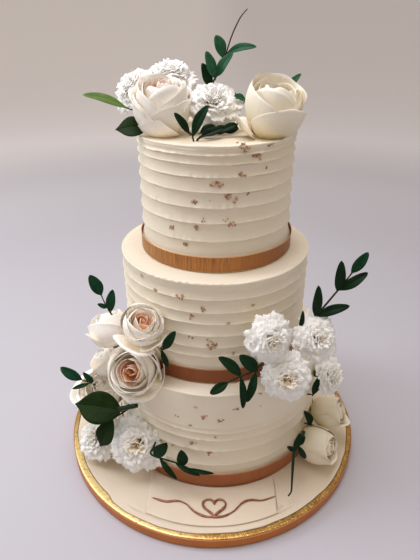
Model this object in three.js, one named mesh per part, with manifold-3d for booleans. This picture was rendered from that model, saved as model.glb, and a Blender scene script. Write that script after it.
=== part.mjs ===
// Three-tier buttercream wedding cake on its iced round board, with fresh garden roses, carnations,
// dark green foliage, copper ribbons and a fondant plaque with a piped heart. Units are millimetres, +Z is up.
// The origin is the middle of the board's underside. The cake stands a little behind the middle of its board,
// which leaves room in front for the plaque.
import * as THREE from 'three';
import { mergeVertices } from 'three/addons/utils/BufferGeometryUtils.js';
import Module from 'manifold-3d';

const wasm = await Module();
wasm.setup();

// ---------------------------------------------------------------- driving dimensions
const GAP = 0.3;              // space kept between touching pieces
const BOARD_SEGMENTS = 28;    // facets round the board
const TIER_SEGMENTS = 24;     // facets round the tiers and their ribbons

const BOARD_RADIUS = 177.8;   // 14 inch drum, outside its ribbon
const DRUM_RADIUS = 176.4;
const DRUM_TOP = 11.6;
const BOARD_TOP = 13.45;      // top of the board's icing
const CREAM_RADIUS = 171.1;   // the icing is cream inside this radius and painted gold outside it
const BOARD_RIBBON = { bottom: 0.7, top: 11.5, thickness: 1.0 };

// Tiers: axis in plan, radius over the ridges, underside and top, and the heights of the ridge lips.
const TIERS = {
  bottom: { axis: [6.1, 6.3], radius: 121.4, bottom: BOARD_TOP + GAP, top: 142.4, lips: [46, 66.5, 81.5, 93.5], smoothFrom: 97 },
  middle: { axis: [3.5, 5.2], radius: 99.7, bottom: 142.4 + GAP, top: 253.9, lips: [173.2, 185.2, 198, 211.5, 223.9, 237.2] },
  top: { axis: [4.5, 8.8], radius: 77.3, bottom: 253.9 + GAP, top: 369.7, lips: [284.8, 301.5, 316.2, 330.3, 344, 354.7, 362.8] },
};
const RIDGE_DEPTH = 2.3;      // lip to groove
const RIM_ROUND = 1.6;        // worn rounding of a tier's top edge
const FOOT_OUT = 1.6;         // how far a tier's foot, behind its ribbon, stands outside the ridges
const RIBBON_THICKNESS = 0.9;
const RIBBON_HEIGHT = { bottom: 21.0, middle: 17.8, top: 16.5 };

const PLAQUE = { thickness: 1.25, left: -68, right: 69, outerRadius: 163.3 };
const HEART = { centre: [3.2, -144], width: 24, height: 20, stroke: 1.9 };
const SCROLL = { stroke: 0.95, reach: 26.5, nearRadius: 154.4 };

// ---------------------------------------------------------------- solids
function weld(geometry) {
  geometry.deleteAttribute('normal');
  geometry.deleteAttribute('uv');
  const g = mergeVertices(geometry, 1e-4);
  const src = g.index.array;
  const idx = [];
  for (let i = 0; i < src.length; i += 3) {
    const [a, b, c] = [src[i], src[i + 1], src[i + 2]];
    if (a !== b && b !== c && c !== a) idx.push(a, b, c);
  }
  return new wasm.Manifold(new wasm.Mesh({ numProp: 3, vertProperties: new Float32Array(g.attributes.position.array), triVerts: new Uint32Array(idx) }));
}

function turned(points, segments = BOARD_SEGMENTS, cx = 0, cy = 0) {
  // points: [radius, height] pairs from the lower axis round the outside to the upper axis, or a closed ring
  const g = new THREE.LatheGeometry(points.map(([r, z]) => new THREE.Vector2(r, z)), segments);
  g.rotateX(Math.PI / 2);
  g.translate(cx, cy, 0);
  let m = weld(g);
  if (m.volume() < 0) throw new Error('profile runs the wrong way');
  return m;
}

function tube(points, radius, { sides = 6, steps = 8, flatten = 1 } = {}) {
  const path = points.length === 2 ? new THREE.LineCurve3(...points) : new THREE.CatmullRomCurve3(points);
  const section = new THREE.Shape();
  for (let i = 0; i < sides; i++) {
    const a = (i + 0.5) * 2 * Math.PI / sides;
    section[i ? 'lineTo' : 'moveTo'](radius * Math.cos(a) * flatten, radius * Math.sin(a));
  }
  return weld(new THREE.ExtrudeGeometry(section, { extrudePath: path, steps, bevelEnabled: false }));
}

function v3(p) { return new THREE.Vector3(...p); }

function largest(m) {
  const pieces = m.decompose();
  let best = pieces[0];
  for (const p of pieces) if (p.volume() > best.volume()) best = p;
  return best;
}

// ---------------------------------------------------------------- scene graph and fitting of neighbours
const cake = new THREE.Group();
const boardGroup = new THREE.Group(), tierGroup = new THREE.Group();
const topFlowers = new THREE.Group(), leftFlowers = new THREE.Group(), rightFlowers = new THREE.Group();
cake.add(boardGroup, tierGroup, topFlowers, leftFlowers, rightFlowers);

const FINISH = {
  icing: { color: 0xefe4cf, roughness: 0.6, metalness: 0 },
  gold: { color: 0xc9963f, roughness: 0.35, metalness: 0.9 },
  copper: { color: 0x8a4a28, roughness: 0.4, metalness: 0.3 },
  drum: { color: 0xd8d2c4, roughness: 0.7, metalness: 0 },
  rose: { color: 0xf3ead9, roughness: 0.55, metalness: 0 },
  carnation: { color: 0xf4f1ec, roughness: 0.7, metalness: 0 },
  leaf: { color: 0x1f3a1c, roughness: 0.4, metalness: 0 },
  leafOlive: { color: 0x5b6b3a, roughness: 0.45, metalness: 0 },
};

const placed = [];
function boxesMeet(a, b) {
  const p = a.boundingBox(), q = b.boundingBox();
  return [0, 1, 2].every((i) => p.min[i] <= q.max[i] && q.min[i] <= p.max[i]);
}

// A piece is made twice: as itself, and grown by GAP, which the pieces that press against it are cut back from.
function addPiece(group, name, finish, make, { cutBack = true } = {}) {
  let solid = make(0);
  if (cutBack) {
    for (const other of placed) if (boxesMeet(solid, other.grown)) solid = solid.subtract(other.grown);
    solid = largest(solid);
  }
  placed.push({ name, grown: make(GAP) });
  const out = solid.getMesh();
  const position = new Float32Array(out.numVert * 3);
  const box = solid.boundingBox();
  const centre = [0, 1, 2].map((i) => Math.round((box.min[i] + box.max[i]) / 2));
  for (let i = 0; i < out.numVert; i++) for (let k = 0; k < 3; k++) position[3 * i + k] = out.vertProperties[out.numProp * i + k] - centre[k];
  const geometry = new THREE.BufferGeometry();
  geometry.setAttribute('position', new THREE.BufferAttribute(position, 3));
  geometry.setIndex(new THREE.BufferAttribute(new Uint32Array(out.triVerts), 1));
  geometry.computeVertexNormals();
  const mesh = new THREE.Mesh(geometry, new THREE.MeshStandardMaterial(FINISH[finish]));
  mesh.name = name;
  mesh.position.set(...centre);
  group.add(mesh);
  return mesh;
}

// ---------------------------------------------------------------- board
addPiece(boardGroup, 'board_drum', 'drum', (g) => turned([[0, 0 - g], [DRUM_RADIUS - 0.8 + g, 0 - g], [DRUM_RADIUS + g, 0.8 - g], [DRUM_RADIUS + g, DRUM_TOP + g], [0, DRUM_TOP + g]]), { cutBack: false });
addPiece(boardGroup, 'board_ribbon', 'copper', (g) => {
  const outer = BOARD_RADIUS + g, inner = BOARD_RADIUS - BOARD_RIBBON.thickness - g;
  return turned([[inner, BOARD_RIBBON.bottom - g], [outer, BOARD_RIBBON.bottom - g], [outer, BOARD_RIBBON.top + g], [inner, BOARD_RIBBON.top + g], [inner, BOARD_RIBBON.bottom - g]]);
}, { cutBack: false });
addPiece(boardGroup, 'board_icing', 'icing', (g) => turned([[0, DRUM_TOP + GAP - g], [CREAM_RADIUS + g, DRUM_TOP + GAP - g], [CREAM_RADIUS + g, BOARD_TOP + g], [0, BOARD_TOP + g]]), { cutBack: false });
addPiece(boardGroup, 'board_gold_rim', 'gold', (g) => {
  const inner = CREAM_RADIUS + GAP - g, outer = BOARD_RADIUS - 0.2 + g, low = DRUM_TOP + GAP - g, high = BOARD_TOP + g;
  return turned([[inner, low], [outer, low], [outer, high - 0.8], [outer - 0.9, high], [inner, high], [inner, low]]);
}, { cutBack: false });

// ---------------------------------------------------------------- tiers and their ribbons
// Each band of icing swells downwards to a lip, and the next one starts in the groove under it.
function tierProfile(t, ribbonTop, g) {
  const R = t.radius + g, foot = R + FOOT_OUT;
  const pts = [[0, t.bottom - g], [foot, t.bottom - g], [foot, ribbonTop + 0.6]];
  const lips = t.lips;
  for (const lip of lips) {
    pts.push([R - RIDGE_DEPTH, lip - 2.2]);
    pts.push([R, lip]);
  }
  if (t.smoothFrom) pts.push([R - 1.4, t.smoothFrom + 4], [R - 0.6, (t.smoothFrom + t.top) / 2]);
  pts.push([R - 0.4, t.top - RIM_ROUND], [R - RIM_ROUND - 0.4, t.top + g], [0, t.top + g]);
  return pts;
}
for (const key of ['bottom', 'middle', 'top']) {
  const t = TIERS[key];
  const base = t.bottom - GAP;
  const ribbonTop = base + RIBBON_HEIGHT[key];
  addPiece(tierGroup, `tier_${key}`, 'icing', (g) => turned(tierProfile(t, ribbonTop, g), TIER_SEGMENTS, ...t.axis), { cutBack: false });
  addPiece(tierGroup, `ribbon_${key}`, 'copper', (g) => {
    const inner = t.radius + FOOT_OUT + GAP - g, outer = t.radius + FOOT_OUT + GAP + RIBBON_THICKNESS + g;
    const low = base + GAP - g, high = ribbonTop + g;
    return turned([[inner, low], [outer, low], [outer, high], [inner, high], [inner, low]], TIER_SEGMENTS, ...t.axis);
  }, { cutBack: false });
}

// ---------------------------------------------------------------- plaque and its piped heart
addPiece(boardGroup, 'plaque', 'icing', (g) => {
  const t = TIERS.bottom, inner = t.radius + FOOT_OUT + RIBBON_THICKNESS + 1.2 - g, outer = PLAQUE.outerRadius + g;
  const L = PLAQUE.left - g, Rt = PLAQUE.right + g;
  const shape = new THREE.Shape();
  const pts = [];
  const steps = 12;
  for (let i = 0; i <= steps; i++) { const x = L + (Rt - L) * i / steps; pts.push([x, -Math.sqrt(outer * outer - x * x)]); }
  for (let i = steps; i >= 0; i--) { const x = L + (Rt - L) * i / steps; pts.push([x, t.axis[1] - Math.sqrt(inner * inner - (x - t.axis[0]) ** 2)]); }
  pts.forEach(([x, y], i) => shape[i ? 'lineTo' : 'moveTo'](x, y));
  const g3 = new THREE.ExtrudeGeometry(shape, { depth: PLAQUE.thickness + 2 * g, bevelEnabled: false });
  g3.translate(0, 0, BOARD_TOP + GAP - g);
  return weld(g3);
}, { cutBack: false });

// A heart on the plaque's middle line, with one long wave to each side that mirror each other.
addPiece(boardGroup, 'plaque_ornament', 'copper', (g) => {
  const low = BOARD_TOP + GAP + PLAQUE.thickness + GAP;
  const outline = (offset) => {
    const pts = [], k = 1 + 2 * offset / HEART.width;
    for (let i = 0; i < 18; i++) {
      const a = i * 2 * Math.PI / 18;
      const x = 16 * Math.sin(a) ** 3, y = 13 * Math.cos(a) - 5 * Math.cos(2 * a) - 2 * Math.cos(3 * a) - Math.cos(4 * a) + 4;
      pts.push(new THREE.Vector2(HEART.centre[0] + k * x * HEART.width / 32, HEART.centre[1] - 1 + k * y * HEART.height / 29));
    }
    return pts;
  };
  const shape = new THREE.Shape(outline(HEART.stroke / 2 + g));
  shape.holes.push(new THREE.Path(outline(-HEART.stroke / 2 - g).reverse()));
  const band = new THREE.ExtrudeGeometry(shape, { depth: HEART.stroke + 2 * g, bevelEnabled: false });
  band.translate(0, 0, low - g);
  let m = weld(band);
  for (const side of [-1, 1]) {
    const wave = [[-0.015, -0.2], [0.14, -1.0], [0.3, -5.5], [0.45, -12.5], [0.6, -14.0], [0.78, -9.5], [1.0, -8.0]].map(([s, d]) => {
      const a = side * s * SCROLL.reach * Math.PI / 180 + 1.2 * Math.PI / 180, r = SCROLL.nearRadius + d;
      return new THREE.Vector3(r * Math.sin(a), -r * Math.cos(a), low + SCROLL.stroke);
    });
    m = m.add(tube(wave, SCROLL.stroke + g, { sides: 4, steps: 9 }));
  }
  return m;
}, { cutBack: false });

// ---------------------------------------------------------------- flowers
// A flower head is a ball whose pole faces outwards. Its profile gives the swell of the petals from the heart of
// the flower (0) round the outside to the stem (1), and petals overlap as a pinwheel of sawtooth steps.
const ROSE_OPEN = [[0, 0.28], [0.22, 0.42], [0.48, 0.53], [0.74, 0.4], [0.98, 0.18], [0.96, -0.12], [0.6, -0.54], [0, -0.76]];
const ROSE_BUD = [[0, 0.88], [0.22, 0.98], [0.5, 0.92], [0.84, 0.64], [1.0, 0.14], [0.9, -0.42], [0.52, -0.84], [0, -0.98]];
const CARNATION = [[0, 0.62], [0.34, 0.66], [0.72, 0.5], [1.0, 0.14], [0.6, -0.34], [0.17, -0.8], [0, -0.9]];

function head(profile, { at, radius, face, spin = 0, around = 12 }, shapeVertex, g) {
  const rows = profile.length - 1;
  const geometry = new THREE.SphereGeometry(1, around, rows);
  const pos = geometry.attributes.position;
  const turn = new THREE.Quaternion().setFromUnitVectors(new THREE.Vector3(0, 0, 1), v3(face).normalize());
  const p = new THREE.Vector3();
  for (let i = 0; i < pos.count; i++) {
    const row = Math.floor(i / (around + 1)), col = (i % (around + 1)) % around;
    const a = 2 * Math.PI * col / around;
    const [r0, z0] = profile[row];
    const [r, z] = row === 0 || row === rows ? [0, z0] : shapeVertex(r0, z0, a, row, col);
    const grow = (radius + g) / radius;
    p.set(Math.cos(a + spin) * r, Math.sin(a + spin) * r, z).multiplyScalar(radius * grow);
    p.applyQuaternion(turn).add(v3(at));
    pos.setXYZ(i, p.x, p.y, p.z);
  }
  let m = weld(geometry);
  return m;
}
const saw = (x) => x - Math.floor(x);

// The cut stem, from the back of the flower into whatever carries it.
const STEM_RADIUS = 2;
function withStem(flower, { at, radius, face, foot }, g) {
  const start = v3(at).addScaledVector(v3(face).normalize(), -0.45 * radius);
  return flower.add(tube([start, v3(foot)], STEM_RADIUS + g, { sides: 5, steps: 1 }));
}
// A point just inside the side of a tier, level with the back of a flower, or just under its top.
function inSide(key, [x, y], z) {
  const t = TIERS[key], dx = x - t.axis[0], dy = y - t.axis[1], k = (t.radius - 4) / Math.hypot(dx, dy);
  return [t.axis[0] + dx * k, t.axis[1] + dy * k, z];
}
function inTop(key, [x, y]) { return [x, y, TIERS[key].top - 2]; }

function rose(spec, g) {
  const profile = spec.bud ? ROSE_BUD : ROSE_OPEN;
  return head(profile, spec, (r, z, a, row) => {
    const turn = a / (2 * Math.PI);
    const step = saw(5 * turn + row * 0.18);
    if (row <= 2) return [r * (0.94 + 0.1 * saw(3 * turn + 0.37 * row)), z - (spec.bud ? 0.07 : 0.1) * saw(0.9 * row - turn * 2)];
    if (row <= 5) return [r * (0.93 + 0.1 * step), z + 0.05 * step];
    return [r, z];
  }, g);
}

function carnation(spec, g) {
  return head(CARNATION, spec, (r, z, a, row, col) => {
    if (row >= 4) return [r, z];
    const ruffle = (col % 2 ? 1 : -1) * (row % 2 ? 1 : -1) * 0.055 + 0.03 * Math.sin(3 * a + row * 1.9 + (spec.spin || 0));
    return [r * (0.97 + ruffle), z + ruffle * 0.9];
  }, g);
}

// Each flower: middle of its head, where its stem is pressed in, radius, and the direction that it faces.
const FLOWERS = [
  [topFlowers, 'top_rose', rose, { at: [-47.3, -11, 391.9], foot: inTop('top', [-46, -4]), radius: 26, face: [0.1, -0.75, 0.65], spin: 0.4 }],
  [topFlowers, 'top_bud_rose', rose, { at: [56.7, -20, 393.5], foot: inTop('top', [50, -12]), radius: 26.5, face: [0.35, -0.4, 0.85], spin: 1.1, bud: true }],
  [topFlowers, 'top_carnation_front', carnation, { at: [2.3, 0, 391.2], foot: inTop('top', [0, 12]), radius: 26.5, face: [0.12, -0.75, 0.62] }],
  [topFlowers, 'top_carnation_left', carnation, { at: [-73.1, 28, 400.4], foot: inTop('top', [-56, 32]), radius: 22.5, face: [-0.6, -0.5, 0.6], spin: 0.7 }],
  [topFlowers, 'top_carnation_back', carnation, { at: [-40.3, 48, 405.6], foot: inTop('top', [-39, 50]), radius: 27.5, face: [0, -0.35, 0.93], spin: 0.3 }],
  [leftFlowers, 'left_rose_upper', rose, { at: [-67.3, -90, 204.5], foot: inSide('middle', [-67, -90], 198), radius: 23, face: [0.39, -0.5, 0.77], spin: 0.9 }],
  [leftFlowers, 'left_rose_middle', rose, { at: [-75.4, -88, 154.5], foot: inSide('middle', [-75, -88], 150), radius: 28.7, face: [-0.03, -0.63, 0.78], spin: 0.2 }],
  [leftFlowers, 'left_rose_side', rose, { at: [-107.8, -52, 180.9], foot: inSide('middle', [-108, -52], 174), radius: 23, face: [-0.7, -0.25, 0.65], spin: 1.5 }],
  [leftFlowers, 'left_bloom_small', rose, { at: [-118, -42, 131], foot: inSide('bottom', [-118, -42], 128), radius: 17, face: [-0.75, -0.35, 0.55], spin: 2.2 }],
  [leftFlowers, 'left_carnation_front', carnation, { at: [-81.2, -91.5, 54.5], foot: inSide('bottom', [-81, -91], 50), radius: 34, face: [0.08, -0.66, 0.74] }],
  [leftFlowers, 'left_rose_lower', rose, { at: [-128.6, -55, 88.4], foot: inSide('bottom', [-128, -55], 78), radius: 30, face: [-0.15, -0.5, 0.85], spin: 0.6 }],
  [leftFlowers, 'left_carnation_back', carnation, { at: [-133.5, -72, 38.5], foot: inSide('bottom', [-133, -72], 34), radius: 28.5, face: [-0.5, -0.5, 0.7], spin: 0.5 }],
  [rightFlowers, 'right_carnation_upper', carnation, { at: [54.1, -102.5, 206.8], foot: inSide('middle', [54, -102], 203), radius: 25, face: [0.25, -0.85, 0.4] }],
  [rightFlowers, 'right_carnation_lower', carnation, { at: [73.7, -104, 157.3], foot: inSide('middle', [74, -104], 152), radius: 28, face: [-0.13, -0.8, 0.57], spin: 0.6 }],
  [rightFlowers, 'right_carnation_side', carnation, { at: [101.7, -82, 189.1], foot: inSide('middle', [102, -82], 182), radius: 25, face: [0.45, -0.6, 0.66], spin: 0.2 }],
  [rightFlowers, 'right_carnation_small', carnation, { at: [127, -54, 121], foot: inSide('bottom', [127, -54], 118), radius: 22, face: [0.8, -0.4, 0.45], spin: 0.9 }],
  [rightFlowers, 'right_rose_front', rose, { at: [125.2, -76, 38.4], foot: inSide('bottom', [125, -76], 34), radius: 23.5, face: [0.6, -0.4, 0.69], spin: 0.3, bud: true }],
  [rightFlowers, 'right_rose_back', rose, { at: [139, -42, 54], foot: inSide('bottom', [139, -42], 50), radius: 22, face: [0.85, -0.2, 0.45], spin: 1.9, bud: true }],
];
for (const [group, name, make, spec] of FLOWERS) addPiece(group, name, make === rose ? 'rose' : 'carnation', (g) => withStem(make(spec, g), spec, g));

// ---------------------------------------------------------------- foliage
// A leaf is a pointed, slightly folded and bent blade from its base to its tip.
const LEAF_THICKNESS = 1.1;
function leaf({ base, tip, width, face = [0.1, -0.72, 0.68], bend = 0.08, blunt = 0.9 }, g) {
  const B = v3(base), along = v3(tip).sub(B), length = along.length();
  along.normalize();
  const up = v3(face).addScaledVector(along, -v3(face).dot(along)).normalize();
  const side = new THREE.Vector3().crossVectors(along, up);
  const around = width > 14 ? 6 : 4, rows = width > 14 ? 5 : 4;
  const geometry = new THREE.SphereGeometry(1, around, rows);
  const pos = geometry.attributes.position, p = new THREE.Vector3();
  for (let i = 0; i < pos.count; i++) {
    const row = Math.floor(i / (around + 1)), a = 2 * Math.PI * ((i % (around + 1)) % around) / around;
    const t = row / rows, w = row === 0 || row === rows ? 0 : (width / 2 + g) * Math.sin(Math.PI * t ** blunt) ** 0.8;
    const x = w * Math.cos(a), lift = 0.22 * Math.abs(x) + bend * length * Math.sin(Math.PI * t);
    const thick = w === 0 ? 0 : (LEAF_THICKNESS / 2 + g) * Math.sin(a) * (row === 1 || row === rows - 1 ? 0.8 : 1);
    p.copy(B).addScaledVector(along, t * length + (row === 0 ? -g : row === rows ? g : 0)).addScaledVector(side, x).addScaledVector(up, thick + lift);
    pos.setXYZ(i, p.x, p.y, p.z);
  }
  return weld(geometry);
}
function sprig({ stem, thick = 2, steps = 3, leaves = [] }, g) {
  let m = stem ? tube(stem.map(v3), thick / 2 + g, { sides: 4, steps }) : null;
  for (const l of leaves) m = m ? m.add(leaf(l, g)) : leaf(l, g);
  return m;
}

const FOLIAGE = [
  [topFlowers, 'top_leaf_long', 'leafOlive', { stem: [[-57, 12, 367], [-70, 8, 384], [-86, 5, 391.6]], thick: 1.8, steps: 3, leaves: [{ base: [-84, 5, 391], tip: [-120.5, 5, 401.7], width: 8, face: [-0.1, -0.5, 0.86] }] }],
  [topFlowers, 'top_leaf_rose', 'leaf', { stem: [[-50, -14, 371.2], [-60, -20.5, 374.2]], thick: 2.2, steps: 1, leaves: [{ base: [-58, -20, 374], tip: [-86.5, -25, 375.1], width: 15, bend: 0.05 }] }],
  [topFlowers, 'top_sprig_front', 'leaf', { stem: [[-15, -42, 367], [-16.5, -45, 374.5], [-19.5, -46.4, 377.5]], thick: 1.6, steps: 2, leaves: [
    { base: [-18.5, -46.4, 375.5], tip: [-31, -46, 393], width: 6.5 }, { base: [-16, -44.6, 373], tip: [-2.4, -38, 398], width: 8.3 }] }],
  [topFlowers, 'top_leaves_low', 'leaf', { stem: [[-10, -41, 371.6], [2, -35, 373.6], [10, -29, 374.6]], thick: 2, steps: 3, leaves: [
    { base: [-9, -40, 372.6], tip: [9.1, -32, 378], width: 8, bend: 0.02 }, { base: [8.4, -29.5, 374.6], tip: [23, -24, 380], width: 7, bend: 0.02 }] }],
  [topFlowers, 'top_sprig_tall', 'leaf', { stem: [[-8, 26, 367], [-4, 22, 395], [0.8, 15, 410.4], [7.8, 15, 421.6], [13.2, 15, 435.7], [18.4, 15, 450.2], [25.2, 15, 463.5], [31.5, 15, 470.9]], thick: 2, steps: 8, leaves: [
    { base: [10.5, 15, 431], tip: [4, 17, 450.3], width: 11, blunt: 1.1 }, { base: [13.2, 15, 435], tip: [40.6, 12, 441.1], width: 8.5 },
    { base: [3.1, 14.6, 414.5], tip: [-5, 12, 437.5], width: 8.4 }, { base: [4, 14.6, 416], tip: [19.3, 8, 436], width: 8.4 },
    { base: [-1, 16, 406], tip: [-8.9, 16, 427.5], width: 8.5 }] }],
  [topFlowers, 'top_sprig_small', 'leaf', { stem: [[33, 12, 367], [32.6, 9.4, 392], [27, 10, 398]], thick: 1.6, steps: 3, leaves: [
    { base: [27.5, 10, 397], tip: [16.3, 12, 404.6], width: 6 }, { base: [32.4, 8.6, 395], tip: [20, 4, 400], width: 6.5 }] }],
  [topFlowers, 'top_leaf_back', 'leaf', { stem: [[54, 16, 367], [63, 12, 399]], thick: 1.8, steps: 1, leaves: [{ base: [62, 12, 398], tip: [82, 8, 419], width: 7.5 }] }],
  [leftFlowers, 'left_sprig_upper', 'leaf', { stem: [[-80, -49, 180], [-98, -60, 197], [-105.4, -60, 210], [-109.5, -60, 223.8]], thick: 1.8, leaves: [
    { base: [-109, -60, 222.8], tip: [-118.7, -58, 244.6], width: 12 }, { base: [-101.6, -60, 204], tip: [-98.5, -56, 227.3], width: 9.6 },
    { base: [-104.6, -60, 208.6], tip: [-113.7, -62, 214], width: 5 }] }],
  [leftFlowers, 'left_sprig_far', 'leaf', { stem: [[-126, -48, 92], [-136, -52, 103], [-146.1, -55, 111]], thick: 2, leaves: [
    { base: [-145, -54.6, 110.2], tip: [-167.9, -52, 125.7], width: 11.2 }, { base: [-134, -51, 101.5], tip: [-145.1, -48, 115.2], width: 6.8 },
    { base: [-138, -53.4, 104], tip: [-155, -62, 103.6], width: 5 }] }],
  [leftFlowers, 'left_sprig_inner', 'leaf', { stem: [[-42, -81, 183], [-48, -96, 186], [-44.5, -100.4, 187]], thick: 2, steps: 3, leaves: [
    { base: [-46, -100, 186.6], tip: [-33.2, -99, 207.4], width: 7.8 }, { base: [-47.5, -100, 186.6], tip: [-42.2, -99, 165.3], width: 6 }] }],
  [leftFlowers, 'left_leaf_large', 'leaf', { stem: [[-79.5, -76.4, 103], [-97, -92.6, 100.4]], thick: 3, steps: 1, leaves: [{ base: [-95.6, -92, 100.1], tip: [-146.9, -84, 102.3], width: 32, face: [0.05, -0.68, 0.73], bend: 0.05, blunt: 0.85 }] }],
  [leftFlowers, 'left_leaf_lower', 'leaf', { stem: [[-81.6, -74, 95], [-106, -96, 91]], thick: 2.6, steps: 1, leaves: [{ base: [-105, -95.5, 92], tip: [-119.9, -104, 59.6], width: 19, face: [-0.25, -0.8, 0.55] }] }],
  [leftFlowers, 'left_stem', 'leaf', { stem: [[-106, -91.8, 101], [-76.2, -100, 115.6]], thick: 5, steps: 1 }],
  [leftFlowers, 'left_sprig_low', 'leaf', { stem: [[-62, -117, 63], [-36.6, -123, 58.6], [-22, -126, 53], [-11.7, -127, 49.8]], thick: 2.4, leaves: [
    { base: [-59.5, -117.4, 62], tip: [-45.5, -117, 81], width: 11 }, { base: [-29, -124, 55], tip: [-31.1, -120, 74], width: 11 },
    { base: [-54, -119.4, 61.8], tip: [-35.4, -132, 44.9], width: 6.2 }, { base: [-24, -125.6, 54], tip: [2.9, -128.6, 49.5], width: 4.6 },
    { base: [-38, -122.6, 58.6], tip: [-11.5, -131, 49], width: 5.6 }] }],
  [rightFlowers, 'right_sprig_upper', 'leaf', { stem: [[98.5, -72, 200], [122.9, -64, 231.9], [135.4, -60, 248.9]], thick: 2.2, leaves: [
    { base: [134.4, -60, 248], tip: [148.1, -58, 269.5], width: 10 }, { base: [123.6, -64, 231.6], tip: [149.6, -62, 250], width: 10 },
    { base: [122.2, -64, 230.6], tip: [122.8, -62, 262.5], width: 10.7 }, { base: [103.4, -71, 205.6], tip: [134.7, -70, 217.7], width: 10 },
    { base: [102.6, -71, 204.6], tip: [102.6, -68, 239.1], width: 10 }] }],
  [rightFlowers, 'right_sprig_left', 'leaf', { stem: [[14.1, -122, 165], [27.9, -120, 171.8], [40, -116, 173.4], [52, -110, 172.6]], thick: 2, leaves: [
    { base: [28.2, -120, 171.6], tip: [6.9, -113.5, 188.6], width: 9.6 }, { base: [44, -114.6, 172.8], tip: [26.4, -112, 189.8], width: 11.4 },
    { base: [16.4, -121.8, 166], tip: [-0.8, -126, 155.4], width: 8.6 }, { base: [27.4, -120.2, 171.6], tip: [30.1, -130, 141.2], width: 7 },
    { base: [42, -115.4, 173], tip: [33.6, -128, 147], width: 8.4 }] }],
  [rightFlowers, 'right_leaf_small', 'leaf', { leaves: [{ base: [84, -90, 200], tip: [85.4, -86, 221.6], width: 5 }] }],
  [rightFlowers, 'right_leaf_gap', 'leaf', { stem: [[104, -58.6, 95], [113, -64.4, 99]], thick: 2, steps: 1, leaves: [{ base: [112, -64, 98], tip: [120.2, -58, 124], width: 9 }] }],
  [rightFlowers, 'right_leaf_calyx', 'leaf', { stem: [[118, -62, 50], [106, -66, 58]], thick: 2.4, steps: 1, leaves: [{ base: [115, -62.6, 51.6], tip: [105.6, -62, 72.4], width: 9 }] }],
  [rightFlowers, 'right_sprig_low', 'leaf', { stem: [[79, -88, 84], [90, -104, 77], [86.6, -113.4, 66], [85.3, -122, 50], [83.9, -130, 40], [80.5, -137, 28.6]], thick: 2.4, steps: 6, leaves: [
    { base: [87.2, -113.2, 66.5], tip: [92.1, -108, 85], width: 7.3 }, { base: [87.4, -113, 67.4], tip: [79, -113, 73], width: 5.2 },
    { base: [90, -109.4, 71.6], tip: [101, -110, 53.2], width: 6.4 }] }],
];
for (const [group, name, finish, spec] of FOLIAGE) addPiece(group, name, finish, (g) => sprig(spec, g));

export default cake;
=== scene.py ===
import math
import bpy
import numpy as np
from mathutils import Matrix, Vector


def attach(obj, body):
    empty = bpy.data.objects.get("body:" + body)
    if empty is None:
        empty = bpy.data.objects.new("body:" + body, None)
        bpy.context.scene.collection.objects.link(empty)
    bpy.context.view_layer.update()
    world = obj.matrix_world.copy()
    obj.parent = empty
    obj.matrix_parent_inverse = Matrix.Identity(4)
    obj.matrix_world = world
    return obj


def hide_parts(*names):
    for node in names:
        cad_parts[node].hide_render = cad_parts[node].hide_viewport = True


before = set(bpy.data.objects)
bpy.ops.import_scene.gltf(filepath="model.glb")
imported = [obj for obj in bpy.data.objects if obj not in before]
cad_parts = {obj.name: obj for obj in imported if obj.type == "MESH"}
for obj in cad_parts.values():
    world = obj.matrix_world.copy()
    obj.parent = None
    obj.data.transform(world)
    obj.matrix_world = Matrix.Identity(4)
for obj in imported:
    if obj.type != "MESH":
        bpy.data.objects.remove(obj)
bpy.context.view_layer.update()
MM = 0.001
TAU = 2 * math.pi
scene = bpy.context.scene


# ------------------------------------------------------------------ mesh building (all sizes in mm, objects in metres)
def rng(seed):
    return np.random.default_rng(seed)


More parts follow.
